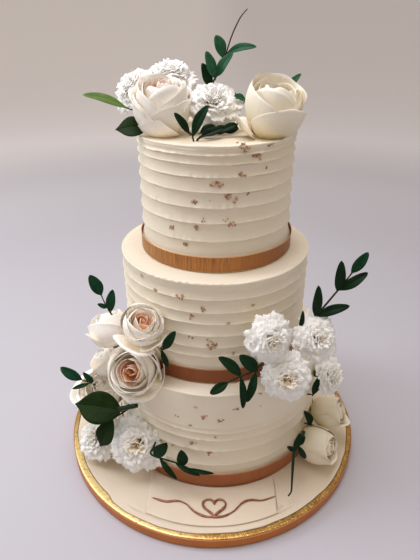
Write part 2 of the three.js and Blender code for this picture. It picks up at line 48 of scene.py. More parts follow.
class Build:
    """Collects vertices (mm), polygons, material numbers and point attributes, and makes one object of them."""

    def __init__(self):
        self.v, self.f3, self.f4, self.m3, self.m4, self.n, self.attr = [], [], [], [], [], 0, {}

    def add(self, verts, quads=None, tris=None, mat=0, **attrs):
        verts = np.asarray(verts, float).reshape(-1, 3)
        k = len(verts)
        for name in set(self.attr) | set(attrs):
            if name not in self.attr:
                self.attr[name] = [np.zeros(self.n)] if self.n else []
            a = attrs.get(name, 0.0)
            self.attr[name].append(np.broadcast_to(np.asarray(a, float).reshape(-1) if np.ndim(a) else a, (k,)).astype(float))
        self.v.append(verts)
        if quads is not None and len(quads):
            q = np.asarray(quads, np.int64).reshape(-1, 4) + self.n
            self.f4.append(q)
            self.m4.append(np.full(len(q), mat))
        if tris is not None and len(tris):
            t = np.asarray(tris, np.int64).reshape(-1, 3) + self.n
            self.f3.append(t)
            self.m3.append(np.full(len(t), mat))
        self.n += k

    def make(self, name, materials, smooth=True, sharp_deg=None):
        v = np.concatenate(self.v) * MM
        q = np.concatenate(self.f4) if self.f4 else np.zeros((0, 4), np.int64)
        t = np.concatenate(self.f3) if self.f3 else np.zeros((0, 3), np.int64)
        mesh = bpy.data.meshes.new(name)
        mesh.vertices.add(len(v))
        mesh.vertices.foreach_set("co", v.astype(np.float32).ravel())
        loops = np.concatenate([q.ravel(), t.ravel()])
        starts = np.concatenate([np.arange(len(q)) * 4, len(q) * 4 + np.arange(len(t)) * 3])
        mesh.loops.add(len(loops))
        mesh.loops.foreach_set("vertex_index", loops.astype(np.int32))
        mesh.polygons.add(len(starts))
        mesh.polygons.foreach_set("loop_start", starts.astype(np.int32))
        mats = np.concatenate([*(self.m4 or [np.zeros(0)]), *(self.m3 or [np.zeros(0)])])
        mesh.polygons.foreach_set("material_index", mats.astype(np.int32))
        mesh.polygons.foreach_set("use_smooth", np.full(len(starts), bool(smooth)))
        for key, chunks in self.attr.items():
            a = mesh.attributes.new(key, "FLOAT", "POINT")
            a.data.foreach_set("value", np.concatenate(chunks).astype(np.float32))
        mesh.update(calc_edges=True)
        mesh.validate()
        if sharp_deg is not None:
            mesh.set_sharp_from_angle(angle=math.radians(sharp_deg))
        for m in materials if isinstance(materials, (list, tuple)) else [materials]:
            mesh.materials.append(m)
        o = bpy.data.objects.new(name, mesh)
        scene.collection.objects.link(o)
        return o


def grid_quads(n, m, wrap=False, flip=False):
    """Quads of an n by m grid of points. wrap closes the second direction."""
    i, j = np.meshgrid(np.arange(n - 1), np.arange(m if wrap else m - 1), indexing="ij")
    j2 = (j + 1) % m
    q = np.stack([i * m + j, i * m + j2, (i + 1) * m + j2, (i + 1) * m + j], -1).reshape(-1, 4)
    return q[:, ::-1] if flip else q


def shell(P, thick, taper=0.5):
    """A closed thin body round the sheet P[n, m, 3]: n runs from base to rim. Returns (verts, quads)."""
    n, m = P.shape[:2]
    du = np.gradient(P, axis=1)
    dv = np.gradient(P, axis=0)
    N = np.cross(du, dv)
    N /= np.linalg.norm(N, axis=-1, keepdims=True) + 1e-9
    th = np.broadcast_to(np.asarray(thick, float), (n, m)).copy()
    th[-1] *= taper
    th[:, 0] *= taper
    th[:, -1] *= taper
    top, bot = P + N * th[..., None] / 2, P - N * th[..., None] / 2
    verts = np.concatenate([top.reshape(-1, 3), bot.reshape(-1, 3)])
    a, b = grid_quads(n, m), grid_quads(n, m, flip=True) + n * m
    idx = np.arange(n * m).reshape(n, m)
    ring = np.concatenate([idx[0, :], idx[1:, -1], idx[-1, -2::-1], idx[-2:0:-1, 0]])
    nxt = np.roll(ring, -1)
    side = np.stack([nxt, ring, ring + n * m, nxt + n * m], -1)
    return verts, np.concatenate([a, b, side])


def bezier(P, t):
    P = np.asarray(P, float)
    t = np.asarray(t, float)[..., None]
    return (1 - t) ** 3 * P[0] + 3 * (1 - t) ** 2 * t * P[1] + 3 * (1 - t) * t ** 2 * P[2] + t ** 3 * P[3]


def spline(points, per=6):
    """Catmull-Rom points through the given ones."""
    p = np.asarray(points, float)
    if len(p) == 2:
        t = np.linspace(0, 1, per + 1)[:, None]
        return p[0] * (1 - t) + p[1] * t
    q = np.vstack([2 * p[0] - p[1], p, 2 * p[-1] - p[-2]])
    out = []
    for i in range(len(p) - 1):
        a, b, c, d = q[i], q[i + 1], q[i + 2], q[i + 3]
        t = np.linspace(0, 1, per, endpoint=False)[:, None]
        out.append(0.5 * (2 * b + (c - a) * t + (2 * a - 5 * b + 4 * c - d) * t ** 2 + (3 * b - a - 3 * c + d) * t ** 3))
    return np.vstack([*out, p[-1:]])


def sweep(path, radius, sides=10, squash=1.0, closed=False):
    """A round-ended tube along a path. radius is one number or one for each point."""
    path = np.asarray(path, float)
    k = len(path)
    r = np.broadcast_to(np.asarray(radius, float), (k,))
    if closed:
        T = np.roll(path, -1, 0) - np.roll(path, 1, 0)
    else:
        T = np.gradient(path, axis=0)
    T /= np.linalg.norm(T, axis=1, keepdims=True) + 1e-12
    ref = np.array([0, 0, 1.0]) if abs(T[:, 2]).mean() < 0.8 else np.array([0, -1.0, 0])
    A = np.cross(T, ref)
    A /= np.linalg.norm(A, axis=1, keepdims=True) + 1e-12
    B = np.cross(A, T)
    a = np.arange(sides) * TAU / sides
    ring = path[:, None] + r[:, None, None] * (A[:, None] * np.cos(a)[None, :, None] + B[:, None] * np.sin(a)[None, :, None] * squash)
    if closed:
        ring = np.concatenate([ring, ring[:1]])
        verts = ring[:-1].reshape(-1, 3)
        q = grid_quads(k + 1, sides, wrap=True, flip=False) % (k * sides)
        return verts, q, None
    verts = np.vstack([ring.reshape(-1, 3), path[0] - T[0] * r[0] * 0.6, path[-1] + T[-1] * r[-1] * 0.6])
    q = grid_quads(k, sides, wrap=True)
    j = np.arange(sides)
    c0 = np.stack([np.full(sides, k * sides), (j + 1) % sides, j], -1)
    e = (k - 1) * sides
    c1 = np.stack([np.full(sides, k * sides + 1), e + j, e + (j + 1) % sides], -1)
    return verts, q, np.vstack([c0, c1])


class Waves:
    """Smooth noise on a circle: sums of whole-number waves in angle and free waves in height. Values about -1 to 1."""

    def __init__(self, seed, lo=1, hi=9, count=8, zfreq=0.0, decay=0.7):
        g = rng(seed)
        self.k = g.integers(lo, hi + 1, count)
        self.p = g.uniform(0, TAU, count)
        self.z = g.normal(0, zfreq, count)
        self.a = (self.k / self.k.min()) ** -decay * g.uniform(0.6, 1, count)
        self.a /= np.sqrt((self.a ** 2).sum() / 2) * 1.6

    def __call__(self, th, z=0.0):
        th, z = np.broadcast_arrays(np.asarray(th, float), np.asarray(z, float))
        s = np.zeros_like(th)
        for k, p, kz, a in zip(self.k, self.p, self.z, self.a):
            s = s + a * np.sin(k * th + kz * z + p)
        return s


def smooth01(x):
    x = np.clip(x, 0, 1)
    return x * x * (3 - 2 * x)


# ------------------------------------------------------------------ materials
def srgb(r, g, b):
    f = lambda c: c / 12.92 if c <= 0.04045 else ((c + 0.055) / 1.055) ** 2.4
    return (f(r / 255), f(g / 255), f(b / 255), 1)


class Mat:
    """A small helper round a node tree."""

    def __init__(self, name):
        self.m = bpy.data.materials.new(name)
        self.m.use_nodes = True
        self.t = self.m.node_tree
        self.t.nodes.clear()
        self.out = self.t.nodes.new("ShaderNodeOutputMaterial")
        self.bsdf = self.t.nodes.new("ShaderNodeBsdfPrincipled")
        self.t.links.new(self.bsdf.outputs[0], self.out.inputs[0])
        self.coord = self.t.nodes.new("ShaderNodeTexCoord").outputs["Object"]

    def set(self, **kw):
        for k, v in kw.items():
            self.bsdf.inputs[k.replace("_", " ")].default_value = v
        return self

    def node(self, kind, inputs=(), **props):
        n = self.t.nodes.new(kind)
        for k, v in props.items():
            setattr(n, k, v)
        for k, v in dict(inputs).items():
            s = n.inputs[k]
            if isinstance(v, bpy.types.NodeSocket):
                self.t.links.new(v, s)
            else:
                s.default_value = v
        return n

    def link(self, socket, name):
        self.t.links.new(socket, self.bsdf.inputs[name])

    def attr(self, name):
        return self.node("ShaderNodeAttribute", attribute_name=name).outputs["Fac"]

    def math(self, op, a, b=0.0, c=0.0, clamp=False):
        return self.node("ShaderNodeMath", {0: a, 1: b, 2: c}, operation=op, use_clamp=clamp).outputs[0]

    def scaled(self, x, y, z, vec=None, shift=(0, 0, 0)):
        return self.node("ShaderNodeMapping", {"Vector": vec or self.coord, "Scale": (x, y, z), "Location": shift}).outputs[0]

    def noise(self, scale, detail=3.0, rough=0.5, vec=None, distortion=0.0):
        return self.node("ShaderNodeTexNoise", {"Vector": vec or self.coord, "Scale": scale, "Detail": detail, "Roughness": rough, "Distortion": distortion}).outputs["Fac"]

    def voronoi(self, scale, vec=None, feature="F1", out="Distance", randomness=1.0):
        return self.node("ShaderNodeTexVoronoi", {"Vector": vec or self.coord, "Scale": scale, "Randomness": randomness}, feature=feature).outputs[out]

    def ramp(self, fac, stops, mode="LINEAR"):
        n = self.node("ShaderNodeValToRGB", {"Fac": fac})
        cr = n.color_ramp
        cr.interpolation = mode
        while len(cr.elements) > 1:
            cr.elements.remove(cr.elements[-1])
        cr.elements[0].position = stops[0][0]
        cr.elements[0].color = self.col(stops[0][1])
        for p, c in stops[1:]:
            cr.elements.new(p).color = self.col(c)
        return n.outputs["Color"]

    @staticmethod
    def col(c):
        if isinstance(c, (int, float)):
            return (c, c, c, 1)
        return tuple(c) if len(c) == 4 else (*c, 1)

    def mix(self, fac, a, b, mode="MIX"):
        n = self.node("ShaderNodeMix", data_type="RGBA", blend_type=mode)
        for k, v in ((0, fac), (6, a), (7, b)):
            if isinstance(v, bpy.types.NodeSocket):
                self.t.links.new(v, n.inputs[k])
            else:
                n.inputs[k].default_value = v if k == 0 else self.col(v)
        return n.outputs[2]

    def bump(self, height, strength, distance, normal=None):
        n = self.node("ShaderNodeBump", {"Height": height, "Strength": strength, "Distance": distance})
        if normal is not None:
            self.t.links.new(normal, n.inputs["Normal"])
        return n.outputs[0]


def icing_material():
    a = Mat("icing")
    smear = a.noise(60, 4, 0.6, a.scaled(1, 1, 6))
    patch = a.noise(14, 3, 0.55)
    groove = a.attr("groove")
    base = a.mix(a.ramp(patch, [(0.3, 0), (0.7, 1)]), srgb(241, 233, 215), srgb(236, 226, 205))
    base = a.mix(a.math("MULTIPLY", a.ramp(smear, [(0.35, 0), (0.75, 1)]), 0.25), base, srgb(232, 216, 190))
    # painted shade: yellower and darker where groove is high, in the scoops and undercuts of the bands and on the top
    # of the top tier
    base = a.mix(a.math("MULTIPLY", groove, 0.35, clamp=True), base, srgb(214, 190, 150))
    a.link(base, "Base Color")
    a.link(a.ramp(smear, [(0.3, 0.5), (0.7, 0.62)]), "Roughness")
    fine = a.noise(500, 3, 0.6, a.scaled(1, 1, 2.5))
    pits = a.ramp(a.voronoi(330), [(0.0, 0), (0.10, 1)])
    n1 = a.bump(smear, 0.5, 0.0005)
    n2 = a.bump(fine, 0.35, 0.00025, n1)
    a.link(a.bump(pits, 0.18, 0.0002, n2), "Normal")
    a.set(Subsurface_Weight=0.12, Subsurface_Radius=(1.0, 0.7, 0.4), Subsurface_Scale=0.004, IOR=1.45)
    return a.m


def fondant_material():
    a = Mat("fondant")
    patch = a.noise(16, 4, 0.6)
    base = a.mix(a.ramp(patch, [(0.3, 0), (0.7, 1)]), srgb(222, 208, 190), srgb(215, 199, 178))
    fine = a.noise(90, 4, 0.6)
    base = a.mix(a.math("MULTIPLY", fine, 0.18), base, srgb(222, 204, 178))
    a.link(base, "Base Color")
    a.link(a.ramp(fine, [(0.3, 0.5), (0.7, 0.6)]), "Roughness")
    n1 = a.bump(patch, 0.5, 0.0006)
    a.link(a.bump(a.noise(450, 2, 0.5), 0.2, 0.00012, n1), "Normal")
    a.set(Subsurface_Weight=0.08, Subsurface_Radius=(1.0, 0.7, 0.4), Subsurface_Scale=0.003)
    return a.m


def gold_material():
    a = Mat("gold_paint")
    flake = a.node("ShaderNodeSeparateColor", {"Color": a.voronoi(900, a.scaled(1, 1, 1), out="Color")}).outputs[0]
    big = a.noise(70, 6, 0.7)
    base = a.mix(a.ramp(big, [(0.32, 0), (0.66, 1)]), srgb(194, 148, 76), srgb(148, 102, 44))
    x = a.node("ShaderNodeSeparateXYZ", {0: a.coord}).outputs["X"]
    y = a.node("ShaderNodeSeparateXYZ", {0: a.coord}).outputs["Y"]
    base = a.mix(a.ramp(a.math("MULTIPLY", a.math("ADD", x, y), -4.0), [(0.70, 0), (0.92, 0.9)]), base, srgb(250, 224, 158))      # painted highlight: the gold is paler at the front left, where the key light's reflection falls
    base = a.mix(a.ramp(flake, [(0.0, 0.5), (0.22, 0.0), (0.8, 0), (1.0, 0.6)]), base, srgb(252, 226, 156))
    worn = a.ramp(a.noise(260, 6, 0.75), [(0.54, 0), (0.64, 1)])
    base = a.mix(a.math("MULTIPLY", worn, 0.65), base, srgb(128, 84, 36))
    base = a.mix(a.math("MULTIPLY", a.attr("inner"), 0.85, clamp=True), base, srgb(88, 56, 26))
    a.link(base, "Base Color")
    a.link(a.ramp(a.noise(300, 4, 0.6), [(0.3, 0.26), (0.7, 0.48)]), "Roughness")
    n = a.bump(a.noise(420, 6, 0.7), 0.6, 0.0004)
    a.link(a.bump(flake, 0.25, 0.0002, n), "Normal")
    a.set(Metallic=0.9)
    return a.m


def ribbon_material(name, light, dark, streak):
    a = Mat(name)
    turn = a.attr("turn")
    vec = a.node("ShaderNodeCombineXYZ", {0: a.math("MULTIPLY", turn, 250.0 if streak > 0.3 else 420.0), 1: a.math("MULTIPLY", a.attr("across"), 0.4), 2: 0.0}).outputs[0]
    lines = a.noise(1.0, 3, 0.7, vec)
    broad = a.noise(1.0, 2, 0.5, a.node("ShaderNodeCombineXYZ", {0: a.math("MULTIPLY", turn, 22.0), 1: 0.0, 2: 3.0}).outputs[0])
    base = a.mix(a.ramp(broad, [(0.3, 0), (0.7, 1)]), dark, light)
    if streak > 0.3:      # the top ribbon only: painted sheen makes it golden at its left, painted shade makes it darker at its right
        x = a.node("ShaderNodeSeparateXYZ", {0: a.coord}).outputs["X"]
        base = a.mix(a.ramp(a.math("MULTIPLY_ADD", x, 6.0, 0.5), [(0.1, 0), (0.42, 0.5), (0.62, 0.45), (0.95, 1)]), srgb(176, 120, 60), base)
        base = a.mix(a.ramp(a.math("MULTIPLY_ADD", x, 6.0, 0.5), [(0.6, 0), (0.95, 1)]), base, srgb(144, 86, 46))
    mark = a.ramp(lines, [(0.40, 1), (0.54, 0)]) if streak > 0.3 else a.ramp(lines, [(0.35, 1), (0.6, 0)])
    # the weave's dark streaks are kept mostly at the left, together with the painted sheen
    if streak > 0.3:
        mark = a.math("MULTIPLY", mark, a.ramp(a.math("MULTIPLY_ADD", x, 6.0, 0.5), [(0.55, 1), (0.8, 0.25)]))
    base = a.mix(a.math("MULTIPLY", mark, streak), base, [c * 0.5 for c in dark[:3]])
    # painted highlight: lighter bands along both edges, for light caught by the top edge and the icing's reflection
    # near the bottom
    edge = a.ramp(a.attr("across"), [(0.0, 1), (0.045, 0), (0.91, 0), (0.95, 1)])
    base = a.mix(a.math("MULTIPLY", edge, 0.75 if streak > 0.3 else 0.45), base, srgb(228, 184, 138))
    a.link(base, "Base Color")
    weave = a.node("ShaderNodeTexWave", {"Vector": vec, "Scale": 3.0, "Distortion": 0.4}, wave_type="BANDS", bands_direction="X").outputs["Fac"]
    a.link(a.ramp(lines, [(0.3, 0.42), (0.7, 0.3)]), "Roughness")
    n = a.bump(weave, 0.2, 0.0001)
    a.link(a.bump(lines, 0.25 + streak * 0.4, 0.0003, n), "Normal")
    a.set(Metallic=0.15, Anisotropic=0.5, Specular_IOR_Level=0.35)
    return a.m


def copper_material():
    a = Mat("copper_piping")
    n = a.noise(180, 4, 0.6)
    a.link(a.mix(a.ramp(n, [(0.35, 0), (0.65, 1)]), srgb(122, 72, 50), srgb(168, 112, 84)), "Base Color")
    a.link(a.ramp(n, [(0.3, 0.32), (0.7, 0.5)]), "Roughness")
    a.link(a.bump(a.noise(500, 3, 0.6), 0.5, 0.0003), "Normal")
    a.set(Metallic=0.45)
    return a.m


def drum_material():
    a = Mat("drum_board")
    n = a.noise(120, 5, 0.6)
    a.link(a.mix(n, srgb(222, 216, 204), srgb(196, 188, 172)), "Base Color")
    a.link(a.bump(a.noise(700, 3, 0.6, a.scaled(1, 5, 1)), 0.4, 0.0003), "Normal")
    a.set(Roughness=0.75)
    return a.m


def fleck_material():
    a = Mat("gold_leaf_flecks")
    n = a.noise(420, 4, 0.7)
    tone = a.attr("tone")
    base = a.mix(a.ramp(n, [(0.35, 0), (0.65, 1)]), srgb(138, 94, 72), srgb(230, 188, 158))
    base = a.mix(tone, base, srgb(250, 228, 178))
    a.link(base, "Base Color")
    a.link(a.ramp(n, [(0.3, 0.22), (0.7, 0.4)]), "Roughness")
    a.link(a.bump(a.noise(900, 3, 0.7), 0.7, 0.0004), "Normal")
    a.set(Metallic=0.65)
    return a.m


def petal_material(name, rim, body, deep, rim_highlight, rough=0.5, sss=0.6, scale=0.0025, radius=(1.0, 0.85, 0.65)):
    """depth is 0 in the outer petals and 1 in the heart; along is 0 at a petal's base and 1 at its rim. The body colour
    at a petal's base is partly the petal's own cream and partly painted warm shade between petals; rim_highlight is a
    painted highlight along the rim.
    """
    a = Mat(name)
    depth, along, shade = a.attr("depth"), a.attr("along"), a.attr("shade")
    vein_vec = a.node("ShaderNodeCombineXYZ", {0: a.math("MULTIPLY", a.attr("across"), 16.0), 1: a.math("MULTIPLY", along, 1.6), 2: a.math("MULTIPLY", shade, 40.0)}).outputs[0]
    veins = a.noise(1.0, 3, 0.6, vein_vec)
    base = a.mix(a.ramp(along, [(0.35, 0), (0.85, 1)]), body, rim)
    cloud = a.ramp(a.noise(110, 2, 0.5), [(0.36, 0.55), (0.56, 1)])
    heart = a.math("MULTIPLY", a.math("MULTIPLY", a.ramp(depth, [(0.15, 0), (0.78, 1)]), cloud), a.ramp(along, [(0.55, 1), (0.84, 0.8), (0.96, 0.2)]))
    base = a.mix(heart, base, deep)
    # painted highlight along the rim
    base = a.mix(a.math("MULTIPLY", a.ramp(along, [(0.93, 0), (1.0, 1)]), 0.5), base, rim_highlight)
    base = a.mix(a.math("MULTIPLY", a.ramp(veins, [(0.4, 0), (0.75, 1)]), 0.12), base, [c * 0.8 for c in body[:3]])
    a.link(base, "Base Color")
    a.link(a.ramp(veins, [(0.3, rough - 0.06), (0.7, rough + 0.08)]), "Roughness")
    n = a.bump(veins, 0.3, 0.0003)
    a.link(a.bump(a.noise(700, 2, 0.5), 0.12, 0.0001, n), "Normal")
    a.set(Subsurface_Weight=sss, Subsurface_Radius=radius, Subsurface_Scale=scale, Sheen_Weight=0.05)
    return a.m


def leaf_material(name, dark, light, gloss=0.32):
    a = Mat(name)
    across, along, shade = a.attr("across"), a.attr("along"), a.attr("shade")
    mid = a.math("ABSOLUTE", across)
    rib = a.ramp(mid, [(0.0, 1), (0.07, 0)])
    vec = a.node("ShaderNodeCombineXYZ", {0: a.math("MULTIPLY_ADD", mid, -6.0, a.math("MULTIPLY", along, 14.0)), 1: a.math("MULTIPLY", across, 0.5), 2: shade}).outputs[0]
    side = a.node("ShaderNodeTexWave", {"Vector": vec, "Scale": 0.35, "Distortion": 0.5}, wave_type="BANDS", bands_direction="X").outputs["Fac"]
    cloud = a.noise(90, 3, 0.6)
    base = a.mix(a.ramp(cloud, [(0.3, 0), (0.7, 1)]), dark, light)
    base = a.mix(a.math("MULTIPLY", rib, 0.45), base, [c * 2.0 + 0.01 for c in light[:3]])
    base = a.mix(a.math("MULTIPLY", a.ramp(side, [(0.75, 0), (1.0, 1)]), 0.08), base, [c * 1.5 + 0.005 for c in light[:3]])
    a.link(base, "Base Color")
    a.link(a.ramp(cloud, [(0.3, gloss - 0.06), (0.7, gloss + 0.1)]), "Roughness")
    n = a.bump(side, 0.10, 0.0002)
    a.link(a.bump(rib, 0.4, 0.0004, n), "Normal")
    a.set(Specular_IOR_Level=0.11)
    return a.m


def stem_material(name, dark, light):
    a = Mat(name)
    n = a.noise(160, 4, 0.6, a.scaled(1, 1, 0.4))
    a.link(a.mix(a.ramp(n, [(0.3, 0), (0.7, 1)]), dark, light), "Base Color")
    a.link(a.bump(a.noise(500, 3, 0.6, a.scaled(1, 1, 0.3)), 0.5, 0.0004), "Normal")
    a.set(Roughness=0.5, Specular_IOR_Level=0.2)
    return a.m


def floor_material():
    a = Mat("floor")
    flat = a.node("ShaderNodeVectorMath", {0: a.coord, 1: (1.0, 1.0, 0.0)}, operation="MULTIPLY").outputs[0]
    away = a.node("ShaderNodeVectorMath", {0: flat}, operation="LENGTH").outputs["Value"]
    # painted light: the floor is lighter further out, to make up for the lamps' fall-off
    base = a.ramp(a.math("MULTIPLY", away, 0.5), [(0.0, srgb(188, 186, 194)), (0.35, srgb(184, 182, 190)), (0.6, srgb(196, 194, 202)), (1.0, srgb(240, 236, 244))], "EASE")
    # painted shade: darker towards the right side of the floor
    side = a.node("ShaderNodeSeparateXYZ", {0: a.coord}).outputs["X"]
    base = a.mix(a.ramp(a.math("MULTIPLY_ADD", side, 0.5, 0.5), [(0.34, 0), (0.75, 0.26)], "EASE"), base, srgb(166, 162, 170))
    grain = a.noise(9, 4, 0.5)
    base = a.mix(a.math("MULTIPLY", grain, 0.05), base, srgb(214, 212, 222))
    a.link(base, "Base Color")
    a.link(a.bump(a.noise(240, 2, 0.5), 0.04, 0.0002), "Normal")
    a.set(Roughness=0.7)
    return a.m


M_ICING = icing_material()
M_FONDANT = fondant_material()
M_GOLD = gold_material()
# one satin ribbon in lit and shaded copies: painted lighter and golden on the top tier, darker on the middle, lighter
# again on the bottom
M_RIBBON_TOP = ribbon_material("ribbon_satin_painted_lit", srgb(194, 130, 72), srgb(168, 104, 54), 0.62)
M_RIBBON = ribbon_material("ribbon_satin", srgb(146, 82, 44), srgb(126, 66, 34), 0.14)
M_RIBBON_LOW = ribbon_material("ribbon_satin_low_painted_lighter", srgb(178, 108, 64), srgb(156, 90, 50), 0.14)
M_RIBBON_DRUM = ribbon_material("ribbon_drum", srgb(204, 118, 34), srgb(180, 98, 24), 0.12)
M_COPPER = copper_material()
M_DRUM = drum_material()
M_FLECK = fleck_material()

# ------------------------------------------------------------------ sizes shared with the CAD model (mm)
BOARD_R, CREAM_R, BOARD_TOP, DRUM_TOP = 177.8, 171.1, 13.45, 11.6
TIERS = {
    "bottom": dict(c=(6.1, 6.3), R=121.4, z0=13.45, z1=142.4, lips=[93.5, 81.5, 66.5, 46.0], band=21.0, smooth=97.0),
    "middle": dict(c=(3.5, 5.2), R=99.7, z0=142.4, z1=253.9, lips=[237.2, 223.9, 211.5, 198.0, 185.2, 173.2], band=17.8),
    "top": dict(c=(4.5, 8.8), R=77.3, z0=253.9, z1=369.7, lips=[362.8, 354.7, 344.0, 330.3, 316.2, 301.5, 284.8], band=16.5),
}
FOOT_OUT = 1.6
# torn places: (tier, lip from the top, bearing in degrees, half width in degrees, how far it stands out in mm)
BURRS = [("top", 1, -141, 4.0, 0.7), ("top", 1, -134, 2.2, 1.0), ("top", 1, -127, 3.0, 0.9), ("top", 1, -119, 2.0, 0.6), ("top", 1, -94, 1.8, 1.0), ("top", 1, -87, 1.6, 0.8),
         ("top", 1, -79, 2.2, 1.1), ("top", 1, -69, 1.6, 0.9), ("top", 1, -60, 1.6, 0.8), ("top", 5, -101, 2.4, 0.7), ("top", 5, -112, 3.0, 0.5), ("top", 6, -108, 2.0, 0.6),
         ("middle", 1, -112, 2.0, 0.6), ("middle", 2, -75, 1.8, 0.6), ("middle", 4, -98, 2.2, 0.6), ("bottom", 1, -60, 2.0, 0.8), ("bottom", 2, -52, 2.6, 0.9), ("bottom", 3, -56, 3.0, 0.8),
         ("bottom", 2, -120, 2.2, 0.6), ("top", 2, 95, 2.4, 0.8), ("top", 4, 40, 2.0, 0.7), ("middle", 3, 120, 2.6, 0.7), ("bottom", 2, 70, 2.2, 0.7)]
# where the rim is lifted or torn: (tier, bearing, half width, how high)
LIFTS = [("top", -24, 5, 6.2), ("top", -15, 4, 5.0), ("top", -34, 5, 2.4), ("top", -62, 12, 0.7), ("top", -98, 7, 0.5), ("top", 150, 9, 1.2), ("middle", -64, 5, 0.5), ("middle", -36, 4, 0.9), ("middle", -98, 6, 0.9), ("middle", -108, 3, 0.9), ("middle", -88, 3, 0.7),
         ("middle", -120, 4, 0.8), ("middle", 60, 8, 0.8),
         ("middle", -125, 1.3, 1.3), ("middle", -118, 1.1, 1.1), ("middle", -113.5, 1.2, 1.6), ("middle", -108.5, 1.4, 2.0), ("middle", -105, 1.1, 1.4), ("middle", -99.5, 1.2, 1.3),
         ("middle", -95, 1.1, 1.5), ("middle", -91, 1.3, 1.1), ("middle", -86.5, 1.1, 1.4), ("middle", -82, 1.2, 0.9), ("middle", -27, 1.3, 1.3), ("middle", -70, 1.1, 0.6), ("bottom", -58, 5, 0.7), ("bottom", 110, 7, 0.8)]
NT = 400      # points round a tier
SIDE = {}     # heights and radii down each tier's side, by bearing


def tier_surface(key, th, z):
    """The radius of a tier's icing at a bearing and height, and a fixed 0.25 as a normal's upward share."""
    Rr, Zz = SIDE[key]
    j = int(round((th % TAU) / TAU * NT)) % NT
    zz, rr = Zz[:, j], Rr[:, j]
    order = np.argsort(zz)
    r = np.interp(z, zz[order], rr[order])
    return r, 0.25


